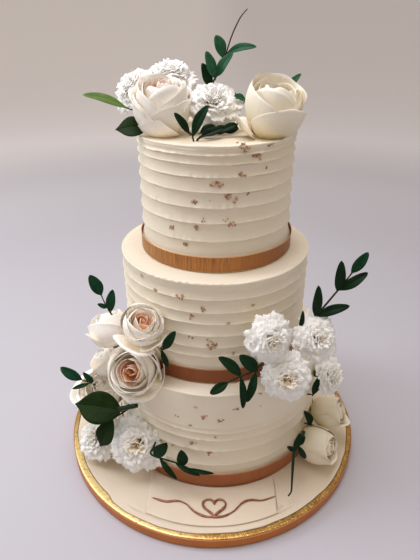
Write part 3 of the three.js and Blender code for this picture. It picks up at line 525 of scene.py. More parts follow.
def tier_object(key, seed):
    t = TIERS[key]
    R, z0, z1, (cx, cy) = t["R"], t["z0"], t["z1"], t["c"]
    th = np.arange(NT) * TAU / NT
    g = rng(seed)
    rows_r, rows_z, rows_painted_shade = [], [], []
    rough = Waves(seed + 50, 20, 90, 18, 0.35, 0.3)
    slow = Waves(seed + 51, 1, 5, 6, 0.02)
    mid = Waves(seed + 52, 5, 26, 12, 0.12, 0.4)

    deg = np.degrees(th)

    def bumps(spots):
        """Ragged little swellings at the given bearings."""
        out = np.zeros(NT)
        for j, (at, half, h) in enumerate(spots):
            d = (deg - at + 180) % 360 - 180
            out += h * np.exp(-(d / half) ** 2) * (0.72 + 0.28 * np.sin(d * (3.1 + 0.7 * (j % 3)) + j) + 0.15 * np.sin(d * 7.3 + 2 * j))
        return out

    def row(r, z, painted_shade_amount=0.0):
        r, z = np.broadcast_to(r, th.shape).astype(float), np.broadcast_to(z, th.shape).astype(float)
        rows_r.append(r + 0.35 * slow(th, z) + 0.10 * mid(th, z))
        rows_z.append(z)
        rows_painted_shade.append(np.broadcast_to(painted_shade_amount, th.shape).astype(float))

    # top: smoothed flat from the middle out, with faint swirls, and a torn, slightly raised lip here and there
    tear_env = np.clip(Waves(seed + 1, 1, 7, 7)(th) * 1.1 - 0.1, 0, 1) ** 1.2
    tear = tear_env * (0.55 + 0.45 * Waves(seed + 2, 30, 110, 20, 0, 0.1)(th))
    swirl = Waves(seed + 3, 1, 4, 5, 0.12, 0.3)
    for f in (0.0, 0.12, 0.25, 0.38, 0.5, 0.6, 0.7, 0.78, 0.85, 0.9, 0.94, 0.965, 0.98):
        r = (R - 3.4) * f / 0.98
        z = z1 - 0.9 + 0.22 * swirl(th, r) * min(1, f * 3) + 0.5 * smooth01((f - 0.9) / 0.08)
        rows_r.append(np.full(NT, r))
        rows_z.append(z if f > 0 else np.full(NT, z1 - 0.9))
        # painted shade on the tops: strong on the top tier, faint on the others, fading out towards the lip
        rows_painted_shade.append(np.full(NT, (0.75 if key == "top" else 0.1) * (1 - smooth01((f - 0.8) / 0.18))))
    lift = bumps([(at, half, h) for k, at, half, h in LIFTS if k == key])
    lip_r = R - 0.4 + 1.0 * tear + 0.3 * lift
    row(R - 2.4, z1 - 0.35 + 0.3 * tear + 0.25 * lift)
    row(R - 1.5, z1 - 0.25 + 0.55 * tear + 0.7 * lift)
    row(R - 0.7 + 0.15 * lift, z1 + 0.05 + 0.75 * tear + lift)
    row(lip_r + 0.1, z1 - 0.25 + 0.8 * tear + 0.85 * lift)
    row(lip_r + 0.25, z1 - 0.9 + 0.35 * tear + 0.35 * lift)
    row(lip_r - 0.05 - 0.35 * tear, z1 - 1.6)
    row(R - 0.55 - 0.2 * tear, z1 - 2.4)

    side_from = len(rows_r)
    # side: each band is scooped, and flares to a lip that stands over the next
    depth_total = 2.05 if key == "top" else 2.3
    levels = [z1 - 2.8] + list(t["lips"])
    heights = []
    for k, z in enumerate(levels):
        amp = 0.0 if k == 0 else (1.0 if (key == "top" and k == 1) else 0.55 if key != "bottom" else 0.7)
        w = Waves(seed + 100 + k, 1, 4, 5, 0, 0.9)(th) * amp + Waves(seed + 130 + k, 6, 30, 14, 0, 0.8)(th) * 0.18 * (k > 0)
        heights.append(z + w)
    if t.get("smooth"):
        # the upper wall is smoothed with a plain scraper
        zs = np.linspace(z1 - 3.4, t["smooth"] + 3, 26)
        for z in zs:
            f = (z1 - z) / (z1 - t["smooth"])
            row(R - 0.5 - 0.5 * math.sin(math.pi * f) + 0.22 * mid(th, z * 0.6) * (f > 0.05), z, 0.0)
        heights[0] = np.full(NT, t["smooth"] + 2.0)
    scoop = np.array([0.06, 0.16, 0.28, 0.42, 0.56, 0.7, 0.82, 0.91, 0.97])
    fade = np.exp(-((deg - 252) / 9.0) ** 2) if key == "top" else 0.0      # the first lip dies out here and goes on further round
    for k in range(len(levels) - 1):
        za, zb = heights[k], heights[k + 1]
        strength = 1.0 + 0.22 * Waves(seed + 160 + k, 1, 6, 6)(th)
        if t.get("smooth"):
            strength = strength * (0.55 if k == 0 else 0.80 if k == 1 else 1.0)
        A = depth_total * strength * (0.75 * (1 - 0.85 * fade) if (key == "top" and k == 0) else 1.0)
        frill = 0.16 * rough(th, k * 9.0) * (1 + 1.6 * np.clip(Waves(seed + 190 + k, 2, 8, 6)(th), 0, 1))
        frill = frill + bumps([(at, half, h) for t_, l_, at, half, h in BURRS if t_ == key and l_ == k + 1])
        for s in scoop:
            flare = s ** 2.3
            if k == 0:
                flare = max(flare, (1 - s) ** 2 * 0.9)
            z = za + (zb - za) * s
            # painted shade in each scoop, strongest where it is deepest
            row(R - A * (1 - flare) + frill * smooth01((s - 0.7) / 0.3), z, 0.25 * (1 - flare))
        # rounded lip, then the undercut, which carries painted shade
        row(R + 0.12 + frill, zb + 0.10, 0.0)
        row(R + 0.10 + frill, zb - 0.24 - 0.3 * np.clip(frill, 0, 1), 0.0)
        row(R - 0.32 + frill * 0.7, zb - 0.62, 0.2)
        row(R - 0.62 * A, zb - 0.72, 0.9)
        row(R - 0.97 * A, zb - 0.86, 1.0)
    # foot: the last band runs down behind the ribbon
    zr = z0 + t["band"]
    last = heights[-1]
    strength = 1.0 + 0.15 * Waves(seed + 300, 1, 6, 6)(th)
    for s in (0.12, 0.25, 0.4, 0.55, 0.7, 0.85, 1.0):
        z = last + (zr - 2.0 - last) * s
        # painted shade in the foot's scoop, fading out downwards
        row(R - depth_total * strength * (1 - s ** 1.6) - 0.2, z, 0.3 * (1 - s))
    row(R + FOOT_OUT - 0.6, zr - 3.0)
    row(R + FOOT_OUT - 0.3, zr - 6.0)
    row(R + FOOT_OUT - 0.3, z0 + 2.0)
    row(R + FOOT_OUT - 0.6, z0 + 0.3)
    rows_r.append(np.zeros(NT)); rows_z.append(np.full(NT, z0 + 0.3)); rows_painted_shade.append(np.zeros(NT))
    Rr, Zz, PaintedShade = np.array(rows_r), np.array(rows_z), np.array(rows_painted_shade)
    SIDE[key] = (Rr[side_from:-5], Zz[side_from:-5])
    V = np.stack([cx + Rr * np.cos(th), cy + Rr * np.sin(th), Zz], -1)
    n = len(Rr)
    b = Build()
    body = V[1:-1].reshape(-1, 3)
    k = n - 2
    verts = np.vstack([body, V[0, 0], V[-1, 0]])
    painted_shade_pts = np.concatenate([PaintedShade[1:-1].ravel(), [0, 0]])
    q = grid_quads(k, NT, wrap=True, flip=True)
    j = np.arange(NT)
    cap0 = np.stack([np.full(NT, k * NT), j, (j + 1) % NT], -1)
    e = (k - 1) * NT
    cap1 = np.stack([np.full(NT, k * NT + 1), e + (j + 1) % NT, e + j], -1)
    b.add(verts, q, np.vstack([cap0, cap1]), groove=painted_shade_pts)
    o = b.make(f"iced_tier_{key}", M_ICING)
    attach(o, "root")
    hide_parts(f"tier_{key}")
    return o


for i, key in enumerate(("bottom", "middle", "top")):
    tier_object(key, 11 + 1000 * i)


def ribbon_object(key, name, mat, R_in, R_out, zl, zh, centre, seed, stand_off=0.6, node=None, back=1.571):
    """A satin ribbon: it starts at the back, runs round, and its end laps over its start."""
    m = 400
    lap = 0.16
    s = np.linspace(0, 1, m)
    th = back + s * (TAU + lap)
    over = smooth01((s * (TAU + lap) - (TAU - 0.05)) / 0.10)
    w = Waves(seed, 2, 9, 8)
    e = Waves(seed + 1, 3, 20, 8)
    rows = 9
    outer, inner = [], []
    for r in range(rows):
        f = r / (rows - 1)
        z = zl + (zh - zl) * f + 0.22 * e(th) * (f - 0.3)
        loose = 0.08 + 0.92 * (0.5 + 0.5 * np.cos(th + 0.45)) ** 1.5
        base = R_out - 0.35 + 0.20 * w(th) * f * loose + stand_off * smooth01((f - 0.55) / 0.45) * (0.7 + 0.3 * w(th)) * loose + 0.5 * over
        outer.append((base, z)); inner.append((base - 0.42, z))
    ring = outer + inner[::-1]
    Rr = np.array([r for r, _ in ring]); Zz = np.array([z for _, z in ring])
    V = np.stack([centre[0] + Rr * np.cos(th), centre[1] + Rr * np.sin(th), Zz], -1)      # [2 rows, m, 3]
    k = len(ring)
    V = V.transpose(1, 0, 2)                                                               # [m, k, 3]
    q = grid_quads(m, k, wrap=True)
    across = np.concatenate([np.linspace(0, 1, rows), np.linspace(1, 0, rows)])
    c0 = [[i, i + 1, k - 2 - i, k - 1 - i] for i in range(rows - 1)]
    e0 = (m - 1) * k
    c1 = [[e0 + i + 1, e0 + i, e0 + k - 1 - i, e0 + k - 2 - i] for i in range(rows - 1)]
    b = Build()
    b.add(V.reshape(-1, 3), np.vstack([q, c0, c1]), across=np.tile(across, m), turn=np.repeat(s, k))
    o = b.make(name, mat)
    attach(o, "root")
    if node:
        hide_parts(node)
    return o


for i, key in enumerate(("bottom", "middle", "top")):
    t = TIERS[key]
    ribbon_object(key, f"satin_ribbon_{key}", {"top": M_RIBBON_TOP, "middle": M_RIBBON, "bottom": M_RIBBON_LOW}[key], t["R"] + FOOT_OUT,
                  t["R"] + FOOT_OUT + 1.1, t["z0"] + 0.4, t["z0"] + t["band"], t["c"], 400 + i,
                  stand_off=0.9 if key == "top" else 0.4, node=f"ribbon_{key}", back=1.4 + 0.2 * i)
ribbon_object("board", "satin_ribbon_board", M_RIBBON_DRUM, 176.6, BOARD_R - 0.2, 0.8, 12.9, (0, 0), 440, stand_off=0.1,
              node="board_ribbon", back=1.9)


# ------------------------------------------------------------------ board
def lathe_object(name, profile, mat, node, slot, seg=300, shape=None, closed=False, **attrs):
    """profile: [(radius, height)...]; the first and last points lie on the axis unless closed."""
    th = np.arange(seg) * TAU / seg
    P = np.array(profile, float)
    Rr = np.repeat(P[:, 0:1], seg, 1)
    Zz = np.repeat(P[:, 1:2], seg, 1)
    if shape:
        Rr, Zz = shape(Rr, Zz, th)
    V = np.stack([Rr * np.cos(th), Rr * np.sin(th), Zz], -1)
    b = Build()
    if closed:
        k = len(P)
        q = grid_quads(k + 1, seg, wrap=True, flip=True) % (k * seg)
        b.add(V.reshape(-1, 3), q, inner=np.exp(-np.repeat(np.clip(P[:, 0:1] - P[:, 0].min(), 0, None), seg, 1) / 0.22).ravel())
    else:
        k = len(P) - 2
        verts = np.vstack([V[1:-1].reshape(-1, 3), V[0, 0], V[-1, 0]])
        q = grid_quads(k, seg, wrap=True, flip=True)
        j = np.arange(seg)
        cap0 = np.stack([np.full(seg, k * seg), j, (j + 1) % seg], -1)
        e = (k - 1) * seg
        cap1 = np.stack([np.full(seg, k * seg + 1), e + (j + 1) % seg, e + j], -1)
        b.add(verts, q, np.vstack([cap0, cap1]))
    o = b.make(name, mat)
    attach(o, "root")
    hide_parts(node)
    return o


lathe_object("drum_board", [(0, DRUM_TOP), (100, DRUM_TOP), (175.6, DRUM_TOP), (176.2, DRUM_TOP - 0.5), (176.4, DRUM_TOP - 1.2), (176.4, 1.2), (176.2, 0.5), (175.6, 0), (100, 0), (0, 0)],
             M_DRUM, "board_drum", "drum")


def rim_shift(th):
    """How far the inner edge of the gold rim wanders from its mean radius (mm)."""
    d = np.degrees((th + math.pi) % TAU - math.pi)
    bump = smooth01((d + 166) / 12) * (1 - smooth01((d + 131.5) / 4))
    front = smooth01((d + 100) / 12) * (1 - smooth01((d + 52) / 14))
    back = 0.6 * np.sin(3 * th + 1.0) * smooth01((np.sin(th) + 0.1) / 0.4)
    return -2.9 * bump - 1.1 * front + back


def icing_shape(Rr, Zz, th):
    u = Waves(71, 1, 6, 8, 0.03)
    top = (Zz > BOARD_TOP - 0.05)
    Zz = Zz + np.where(top, 0.12 * u(th[None, :], Rr), 0)
    wob = Waves(72, 3, 60, 24, 0, 0.5)(th)[None, :]
    Rr = Rr + (0.35 * wob + rim_shift(th)[None, :]) * smooth01((Rr - 161) / 7)
    return Rr, Zz


prof = [(0, BOARD_TOP)] + [(r, BOARD_TOP) for r in (40, 80, 110, 125, 135, 145, 155, 161, 162.6)]
prof += [(163.0, BOARD_TOP), (163.5, BOARD_TOP), (164.2, BOARD_TOP), (167, BOARD_TOP), (169.5, BOARD_TOP), (170.7, BOARD_TOP - 0.03), (171.15, BOARD_TOP - 0.3), (171.2, DRUM_TOP + 0.3), (120, DRUM_TOP + 0.3), (0, DRUM_TOP + 0.3)]


def board_shape(Rr, Zz, th):
    R0 = Rr
    Rr, Zz = icing_shape(Rr, Zz, th)
    # a knife line scored round the plaque's outer edge, along the front only
    a = (th + TAU / 4 + math.pi) % TAU - math.pi      # angle from -Y
    env = smooth01((0.56 - np.abs(a + 0.0)) / 0.02)
    score = np.exp(-((R0 - 163.45) / 0.4) ** 2) * env[None, :]
    return Rr, Zz - 1.1 * score * (Zz > BOARD_TOP - 0.6)


lathe_object("fondant_board_top", prof, M_FONDANT, "board_icing", "board_icing", seg=360, shape=board_shape)


def gold_shape(Rr, Zz, th):
    w = Waves(72, 3, 60, 24, 0, 0.5)(th)[None, :]
    f = Waves(75, 20, 110, 30, 0.4, 0.2)
    Rr = Rr + (0.35 * w + rim_shift(th)[None, :]) * smooth01((176.0 - Rr) / 4.3)
    Zz = Zz + 0.07 * f(th[None, :], Rr) * (Zz > DRUM_TOP + 0.8)
    return Rr, Zz


zt = BOARD_TOP + 0.02
lathe_object("gold_painted_rim", [(171.55, DRUM_TOP + 0.4), (171.5, zt - 0.35), (171.75, zt), (172.3, zt + 0.02), (173, zt + 0.02), (174.3, zt - 0.02), (175.3, zt - 0.08), (176.0, zt - 0.25), (176.5, zt - 0.6), (176.65, zt - 1.1), (176.6, DRUM_TOP + 0.1), (174.5, DRUM_TOP + 0.3)][::-1],
             M_GOLD, "board_gold_rim", "gold_paint", seg=420, shape=gold_shape, closed=True)


# ------------------------------------------------------------------ flowers
M_ROSE = petal_material("rose_petals", srgb(253, 249, 242), srgb(251, 242, 224), srgb(250, 170, 50), srgb(254, 251, 245), sss=0.0)
# painted shade: a darker, greenish copy of the rose petals for the right roses
M_ROSE_PAINTED_SHADE = petal_material("rose_petals_greenish_painted_shade", srgb(240, 232, 212), srgb(230, 217, 184), srgb(246, 214, 140), srgb(248, 242, 228), sss=0.0)
# painted shade: the bud's petals are a darker copy of the rose's cream, darkest at the petal bases
M_BUD_PAINTED_SHADE = petal_material("rose_petals_bud_painted_shade", srgb(246, 239, 222), srgb(220, 206, 168), srgb(232, 222, 156), srgb(249, 245, 234), sss=0.0)
M_CARNATION = petal_material("carnation_petals", srgb(255, 254, 251), srgb(255, 252, 246), srgb(242, 220, 172), srgb(255, 255, 254), rough=0.6, sss=0.0)
M_SEPAL = stem_material("sepal_green", srgb(58, 84, 42), srgb(104, 122, 70))


class Frame:
    """A flower's own axes: Z out of its face, X to the right as far as it can be, Y = Z x X."""

    def __init__(self, at, face, radius):
        self.o = np.array(at, float)
        self.z = np.array(face, float) / np.linalg.norm(face)
        ref = np.array([1.0, 0, 0]) if abs(self.z[0]) < 0.8 else np.array([0, 0, 1.0])
        x = ref - self.z * (ref @ self.z)
        self.x = x / np.linalg.norm(x)
        self.y = np.cross(self.z, self.x)
        self.R = radius

    def __call__(self, r_fwd, lateral, z, phi):
        """A point r_fwd out along azimuth phi, lateral across it and z up, in units of the radius."""
        c, s = np.cos(phi), np.sin(phi)
        X = r_fwd * c - lateral * s
        Y = r_fwd * s + lateral * c
        return self.o + self.R * (X[..., None] * self.x + Y[..., None] * self.y + z[..., None] * self.z)


def petal(b, F, g, phi, half, prof, top=0.2, power=2.6, spiral=0.03, curl=0.0, curl_from=0.75, wave=0.0, lean=0.0, flat=1.0, point=0.0,
          roll=0.0, nu=15, nv=10, thick=0.42, v0=0.0, depth=0.0, tilt=0.0, cup=0.0, mat=0, twist=0.0, base=0.62):
    u = np.linspace(-1, 1, nu)
    u = np.sign(u) * np.abs(u) ** 0.9
    t = np.linspace(0, 1, nv) ** 0.85
    ph = g.uniform(0, TAU, 4)
    vmax = 1 - top * np.abs(u) ** power + point * np.exp(-(u / 0.2) ** 2) + 0.5 * wave * np.sin(3.1 * u + ph[0]) + 0.25 * wave * np.sin(7.3 * u + ph[1]) + tilt * u
    V = v0 + t[:, None] * (vmax[None, :] - v0)
    U = np.broadcast_to(u, V.shape)
    p = bezier(prof, V)
    r, z = p[..., 0], p[..., 1]
    c = np.clip((t[:, None] - curl_from) / (1 - curl_from), 0, 1) ** 2 * (1 - 0.35 * U ** 2)
    r = r + curl * c
    z = z - 0.75 * curl * c ** 1.5
    if roll:       # the outer corners roll back
        k = np.clip((np.abs(U) - 0.55) / 0.45, 0, 1) ** 2 * smooth01(V * 1.2)
        r = r + roll * k
        z = z - roll * 0.5 * k
    w = wave * smooth01(V)
    r = r + w * (0.7 * np.sin(3.7 * U + ph[2] + 1.5 * V) + 0.35 * np.sin(8.1 * U + ph[3]))
    if lean:
        r0, z0 = prof[0]
        cs, sn = math.cos(lean), math.sin(lean)
        r, z = r0 + (r - r0) * cs + (z - z0) * sn, z0 - (r - r0) * sn + (z - z0) * cs
    width = base + (1 - base) * smooth01(V / 0.45)
    d = U * half * width + twist * V
    r = r + spiral * U
    lateral = r * np.sin(d)
    fwd = r * (1 - flat * (1 - np.cos(d))) - cup * (U ** 2) * smooth01(V)
    P = F(fwd, lateral, z, phi)
    along = V / np.maximum(vmax[None, :], 1e-3)
    th = thick * (1.0 - 0.68 * t[:, None]) * np.ones_like(V)
    verts, quads = shell(P, th)
    n = V.size
    two = lambda a: np.concatenate([np.broadcast_to(a, V.shape).ravel()] * 2)
    b.add(verts, quads, mat=mat, depth=two(depth), along=two(along), across=two(U), shade=np.full(2 * n, g.uniform(0, 1)))


def whorl(rr, zr, k, low):
    """A petal's middle line: out of the base, swelling to about k, and in again to a rim of radius rr at height zr."""
    return [(0.08, low), (1.05 * k, low + 0.02), (1.15 * k, low + 0.30 + 0.45 * (zr - low)), (rr, zr)]


def rose(name, node, at, R, face, spin, seed, layers, low=-0.72, mat=None, guards=(), nu=13, nv=9, heart=1.0, jitter=1.0, peak=1.0):
    g = rng(seed)
    F = Frame(at, face, R)
    b = Build()
    phase = spin
    for n, rr, zr, k, half, top, curl, depth, v0 in layers:
        phase += 2.39996 * 0.5 + g.normal(0, 0.1)
        for i in range(n):
            dz, dr = g.normal(0, 0.022) * jitter, g.normal(0, 0.016) * jitter
            small = rr < 0.3
            petal(b, F, g, phase + i * TAU / n + g.normal(0, 0.09) * jitter, half * g.uniform(0.92, 1.08), whorl(rr + dr, zr + dz, k + dr, low), top=top * g.uniform(0.8, 1.3), power=2.2,
                  spiral=0.028 + 0.012 * rr, curl=curl * g.uniform(0.7, 1.3), wave=0.012 + 0.026 * rr, nu=nu if not small else max(11, nu - 2), nv=nv,
                  thick=0.45, v0=v0, depth=depth * heart, point=g.uniform(0, 0.03) * peak, tilt=g.normal(0, 0.03) * jitter, base=0.75)
    for kw in guards:
        kw = dict(kw)
        p = kw.pop("p")
        petal(b, F, g, kw.pop("phi"), kw.pop("half"), p, **{**dict(nu=21, nv=14, thick=0.48, depth=0.0, power=2.2, spiral=0.02), **kw})
    # receptacle inside, so that no petal hangs free
    a = np.arange(14) * TAU / 14
    ring = [(0.02, low - 0.16), (0.11, low - 0.15), (0.19, low - 0.06), (0.24, low + 0.06), (0.2, low + 0.22), (0.1, low + 0.34), (0.02, low + 0.36)]
    P = np.array([[F(np.array(r), np.array(0.0), np.array(z * 1.0), t) for t in a] for r, z in ring])
    k = len(ring)
    verts = np.vstack([P.reshape(-1, 3), F(np.array(0.0), np.array(0.0), np.array(ring[0][1] - 0.005), 0.0), F(np.array(0.0), np.array(0.0), np.array(ring[-1][1] + 0.005), 0.0)])
    j = np.arange(14)
    q = grid_quads(k, 14, wrap=True)
    c0 = np.stack([np.full(14, k * 14), (j + 1) % 14, j], -1)
    c1 = np.stack([np.full(14, k * 14 + 1), (k - 1) * 14 + j, (k - 1) * 14 + (j + 1) % 14], -1)
    b.add(verts, q, np.vstack([c0, c1]), mat=1, depth=0.0, along=0.3, across=0.0, shade=0.5)
    o = b.make(name, [mat or M_ROSE, M_SEPAL])
    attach(o, "root")
    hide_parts(node)
    return o


#        n   rim r  rim z   bulge half  top   curl  depth v0
HEART = [(2, 0.07, 0.34, 0.13, 1.8, 0.16, 0.0, 1.0, 0.30), (2, 0.14, 0.39, 0.21, 1.5, 0.26, 0.01, 1.0, 0.30), (3, 0.22, 0.38, 0.30, 1.1, 0.26, 0.03, 0.75, 0.25),
         (3, 0.32, 0.43, 0.44, 1.2, 0.26, 0.06, 0.35, 0.20)]
CUP = [(3, 0.43, 0.47, 0.60, 1.35, 0.24, 0.09, 0.15, 0.0), (3, 0.54, 0.47, 0.82, 1.4, 0.24, 0.12, 0.05, 0.0), (3, 0.67, 0.40, 0.97, 1.35, 0.26, 0.16, 0.0, 0.0)]
WIDE_HEART = [(2, 0.08, 0.32, 0.13, 1.7, 0.18, 0.0, 1.0, 0.30), (2, 0.16, 0.42, 0.22, 1.25, 0.28, 0.01, 1.0, 0.30), (3, 0.25, 0.38, 0.33, 1.0, 0.28, 0.03, 0.75, 0.25),
              (3, 0.34, 0.44, 0.46, 1.15, 0.26, 0.05, 0.42, 0.20), (3, 0.43, 0.45, 0.56, 1.2, 0.26, 0.07, 0.22, 0.10), (3, 0.52, 0.48, 0.67, 1.35, 0.24, 0.09, 0.10, 0.05)]
WIDE_CUP = [(3, 0.62, 0.46, 0.86, 1.4, 0.22, 0.13, 0.03, 0.0), (3, 0.76, 0.36, 1.0, 1.35, 0.26, 0.18, 0.0, 0.0)]
BUD_HEART = [(2, 0.05, 0.50, 0.14, 2.0, 0.16, 0.0, 1.0, 0.5), (2, 0.14, 0.55, 0.26, 1.9, 0.22, 0.0, 1.0, 0.5), (3, 0.25, 0.62, 0.44, 1.5, 0.26, 0.02, 0.9, 0.4),
             (3, 0.37, 0.70, 0.62, 1.45, 0.28, 0.04, 0.6, 0.2), (3, 0.49, 0.78, 0.78, 1.5, 0.30, 0.06, 0.3, 0.1), (3, 0.61, 0.80, 0.90, 1.5, 0.34, 0.08, 0.1, 0.05)]
BUD_SMALL = [(2, 0.05, 0.60, 0.12, 2.0, 0.08, 0.0, 1.0, 0.5), (3, 0.11, 0.63, 0.20, 1.5, 0.10, 0.0, 1.0, 0.5), (3, 0.18, 0.65, 0.32, 1.4, 0.12, 0.0, 1.0, 0.4),
             (3, 0.28, 0.67, 0.5, 1.35, 0.14, 0.02, 0.6, 0.2), (3, 0.42, 0.66, 0.72, 1.4, 0.2, 0.03, 0.2, 0.1)]


def g_(phi, half, *prof, **kw):
    """A guard petal: where it points, its half width in radians, and its middle line from base to rim."""
    return dict(phi=phi, half=half, p=list(prof), **kw)


# left: two open garden roses with warm hearts, and three paler ones
rose("rose_left_middle", "left_rose_middle", (-79.5, -88, 150.5), 26.5, (-0.2, -0.82, 0.53), 0.2, 2101, WIDE_HEART + WIDE_CUP, nu=17, nv=11, jitter=1.9,
     guards=[g_(0.15, 1.05, (0.1, -0.72), (1.05, -0.74), (1.32, -0.3), (1.24, 0.26), curl=0.08, top=0.26, wave=0.035),
             g_(0.55, 0.85, (0.1, -0.72), (0.98, -0.70), (1.20, -0.15), (1.06, 0.34), curl=0.10, top=0.24, wave=0.03),
             g_(1.35, 1.0, (0.1, -0.72), (1.0, -0.66), (1.14, -0.2), (1.0, 0.34), curl=0.08, top=0.3, wave=0.03),
             g_(2.7, 0.9, (0.1, -0.72), (0.9, -0.68), (1.06, -0.3), (0.96, 0.12), curl=0.10, top=0.3, wave=0.03),
             g_(-2.3, 0.8, (0.1, -0.72), (0.9, -0.72), (1.05, -0.4), (0.96, 0.05), curl=0.12, top=0.3, wave=0.03),
             g_(-1.15, 0.85, (0.1, -0.72), (0.95, -0.74), (1.10, -0.45), (1.08, -0.02), curl=0.16, top=0.3, wave=0.045),
             g_(-1.75, 0.5, (0.1, -0.75), (0.9, -0.82), (1.15, -0.62), (1.30, -0.42), curl=0.08, top=0.35, wave=0.04)])
rose("rose_left_upper", "left_rose_upper", (-64.8, -91, 211), 21.0, (0.26, -0.38, 0.89), 0.9, 2202, HEART + CUP, nu=17, nv=11, jitter=1.8,
     guards=[g_(2.5, 0.95, (0.1, -0.72), (0.95, -0.70), (1.06, -0.2), (0.86, 0.30), curl=0.06, top=0.28, wave=0.03),
             g_(0.7, 1.0, (0.1, -0.72), (0.95, -0.70), (1.08, -0.2), (0.86, 0.30), curl=0.06, top=0.28, wave=0.03),
             g_(-1.85, 0.95, (0.1, -0.74), (1.0, -0.88), (1.26, -0.70), (1.20, -0.22), curl=0.22, top=0.34, power=2.6, wave=0.05),
             g_(-0.75, 0.75, (0.1, -0.74), (1.0, -0.85), (1.16, -0.60), (1.10, -0.15), curl=0.14, top=0.30, wave=0.03),
             g_(-1.5, 0.95, (0.1, -0.72), (0.95, -0.76), (1.1, -0.3), (0.92, 0.16), curl=0.08, top=0.22, wave=0.03)])
rose("rose_left_side", "left_rose_side", (-105.5, -54, 182), 22, (-0.30, 0.42, 0.86), 1.5, 2303, BUD_SMALL, heart=0.15, low=-0.95,
     guards=[g_(0.3, 1.3, (0.1, -0.95), (0.95, -0.95), (1.10, 0.0), (0.55, 0.70), curl=0.04, top=0.25, power=2.8, wave=0.02, base=0.9),
             g_(2.2, 1.3, (0.1, -0.95), (0.98, -0.95), (1.14, 0.0), (0.62, 0.74), curl=0.10, top=0.25, power=2.8, wave=0.02, base=0.9),
             g_(-0.9, 1.3, (0.1, -0.95), (1.02, -0.95), (1.2, 0.0), (0.74, 0.60), curl=0.12, top=0.22, power=3, wave=0.03, base=0.9),
             g_(-2.2, 1.25, (0.1, -0.95), (1.02, -0.95), (1.22, -0.1), (0.84, 0.48), curl=0.16, top=0.24, power=3, wave=0.04, base=0.9),
             g_(-2.9, 0.8, (0.1, -0.95), (1.0, -0.95), (1.16, -0.2), (1.06, 0.16), curl=0.20, curl_from=0.55, top=0.25, power=3, wave=0.05)])
rose("bloom_left_small", "left_bloom_small", (-118, -44, 131), 17.5, (-0.6, 0.05, 0.8), 2.2, 2404, BUD_SMALL, heart=0.3, low=-0.9,
     guards=[g_(0.5, 1.2, (0.1, -0.9), (0.95, -0.9), (1.12, 0.0), (0.60, 0.66), curl=0.05, top=0.25, power=2.8, wave=0.03, base=0.9),
             g_(2.6, 1.2, (0.1, -0.9), (0.98, -0.9), (1.18, 0.0), (0.72, 0.62), curl=0.12, top=0.25, power=2.8, wave=0.03, base=0.9),
             g_(-1.5, 1.2, (0.1, -0.9), (1.02, -0.9), (1.22, -0.1), (0.90, 0.45), curl=0.18, top=0.25, power=2.8, wave=0.05, base=0.9)])
rose("rose_left_lower", "left_rose_lower", (-126.0, -53, 96), 29.0, (-0.06, -0.2, 0.97), 0.6, 2505,
     [(3, 0.06, 0.30, 0.10, 1.6, 0.2, 0.02, 1.0, 0.30), (4, 0.15, 0.32, 0.20, 1.0, 0.25, 0.03, 1.0, 0.30), (4, 0.26, 0.30, 0.34, 1.1, 0.25, 0.03, 0.6, 0.2),
      (3, 0.42, 0.34, 0.64, 1.4, 0.22, 0.07, 0.2, 0.1), (3, 0.66, 0.30, 0.90, 1.4, 0.24, 0.10, 0.0, 0.0)], mat=M_ROSE, heart=0.2, jitter=1.5, nu=17, nv=11,
     guards=[g_(-0.7, 1.05, (0.1, -0.66), (0.8, -0.66), (1.02, -0.22), (1.04, 0.08), curl=0.12, top=0.24, power=2.6, wave=0.04),
             g_(0.7, 1.0, (0.1, -0.66), (0.8, -0.64), (1.00, -0.22), (1.04, 0.06), curl=0.12, top=0.24, power=2.6, wave=0.04),
             g_(2.1, 1.0, (0.1, -0.64), (0.7, -0.62), (0.96, -0.20), (1.12, 0.02), curl=0.10, top=0.24, power=2.6, wave=0.05),
             g_(-2.9, 1.0, (0.1, -0.64), (0.7, -0.62), (0.94, -0.20), (1.08, 0.06), curl=0.10, top=0.24, power=2.6, wave=0.05),
             g_(-2.4, 0.8, (0.1, -0.60), (0.6, -0.54), (0.80, -0.05), (0.88, 0.20), curl=0.08, top=0.24, power=2.6, wave=0.04),
             g_(-1.9, 1.05, (0.1, -0.66), (0.8, -0.66), (1.00, -0.25), (1.04, 0.02), curl=0.10, top=0.24, power=2.6, wave=0.05)])

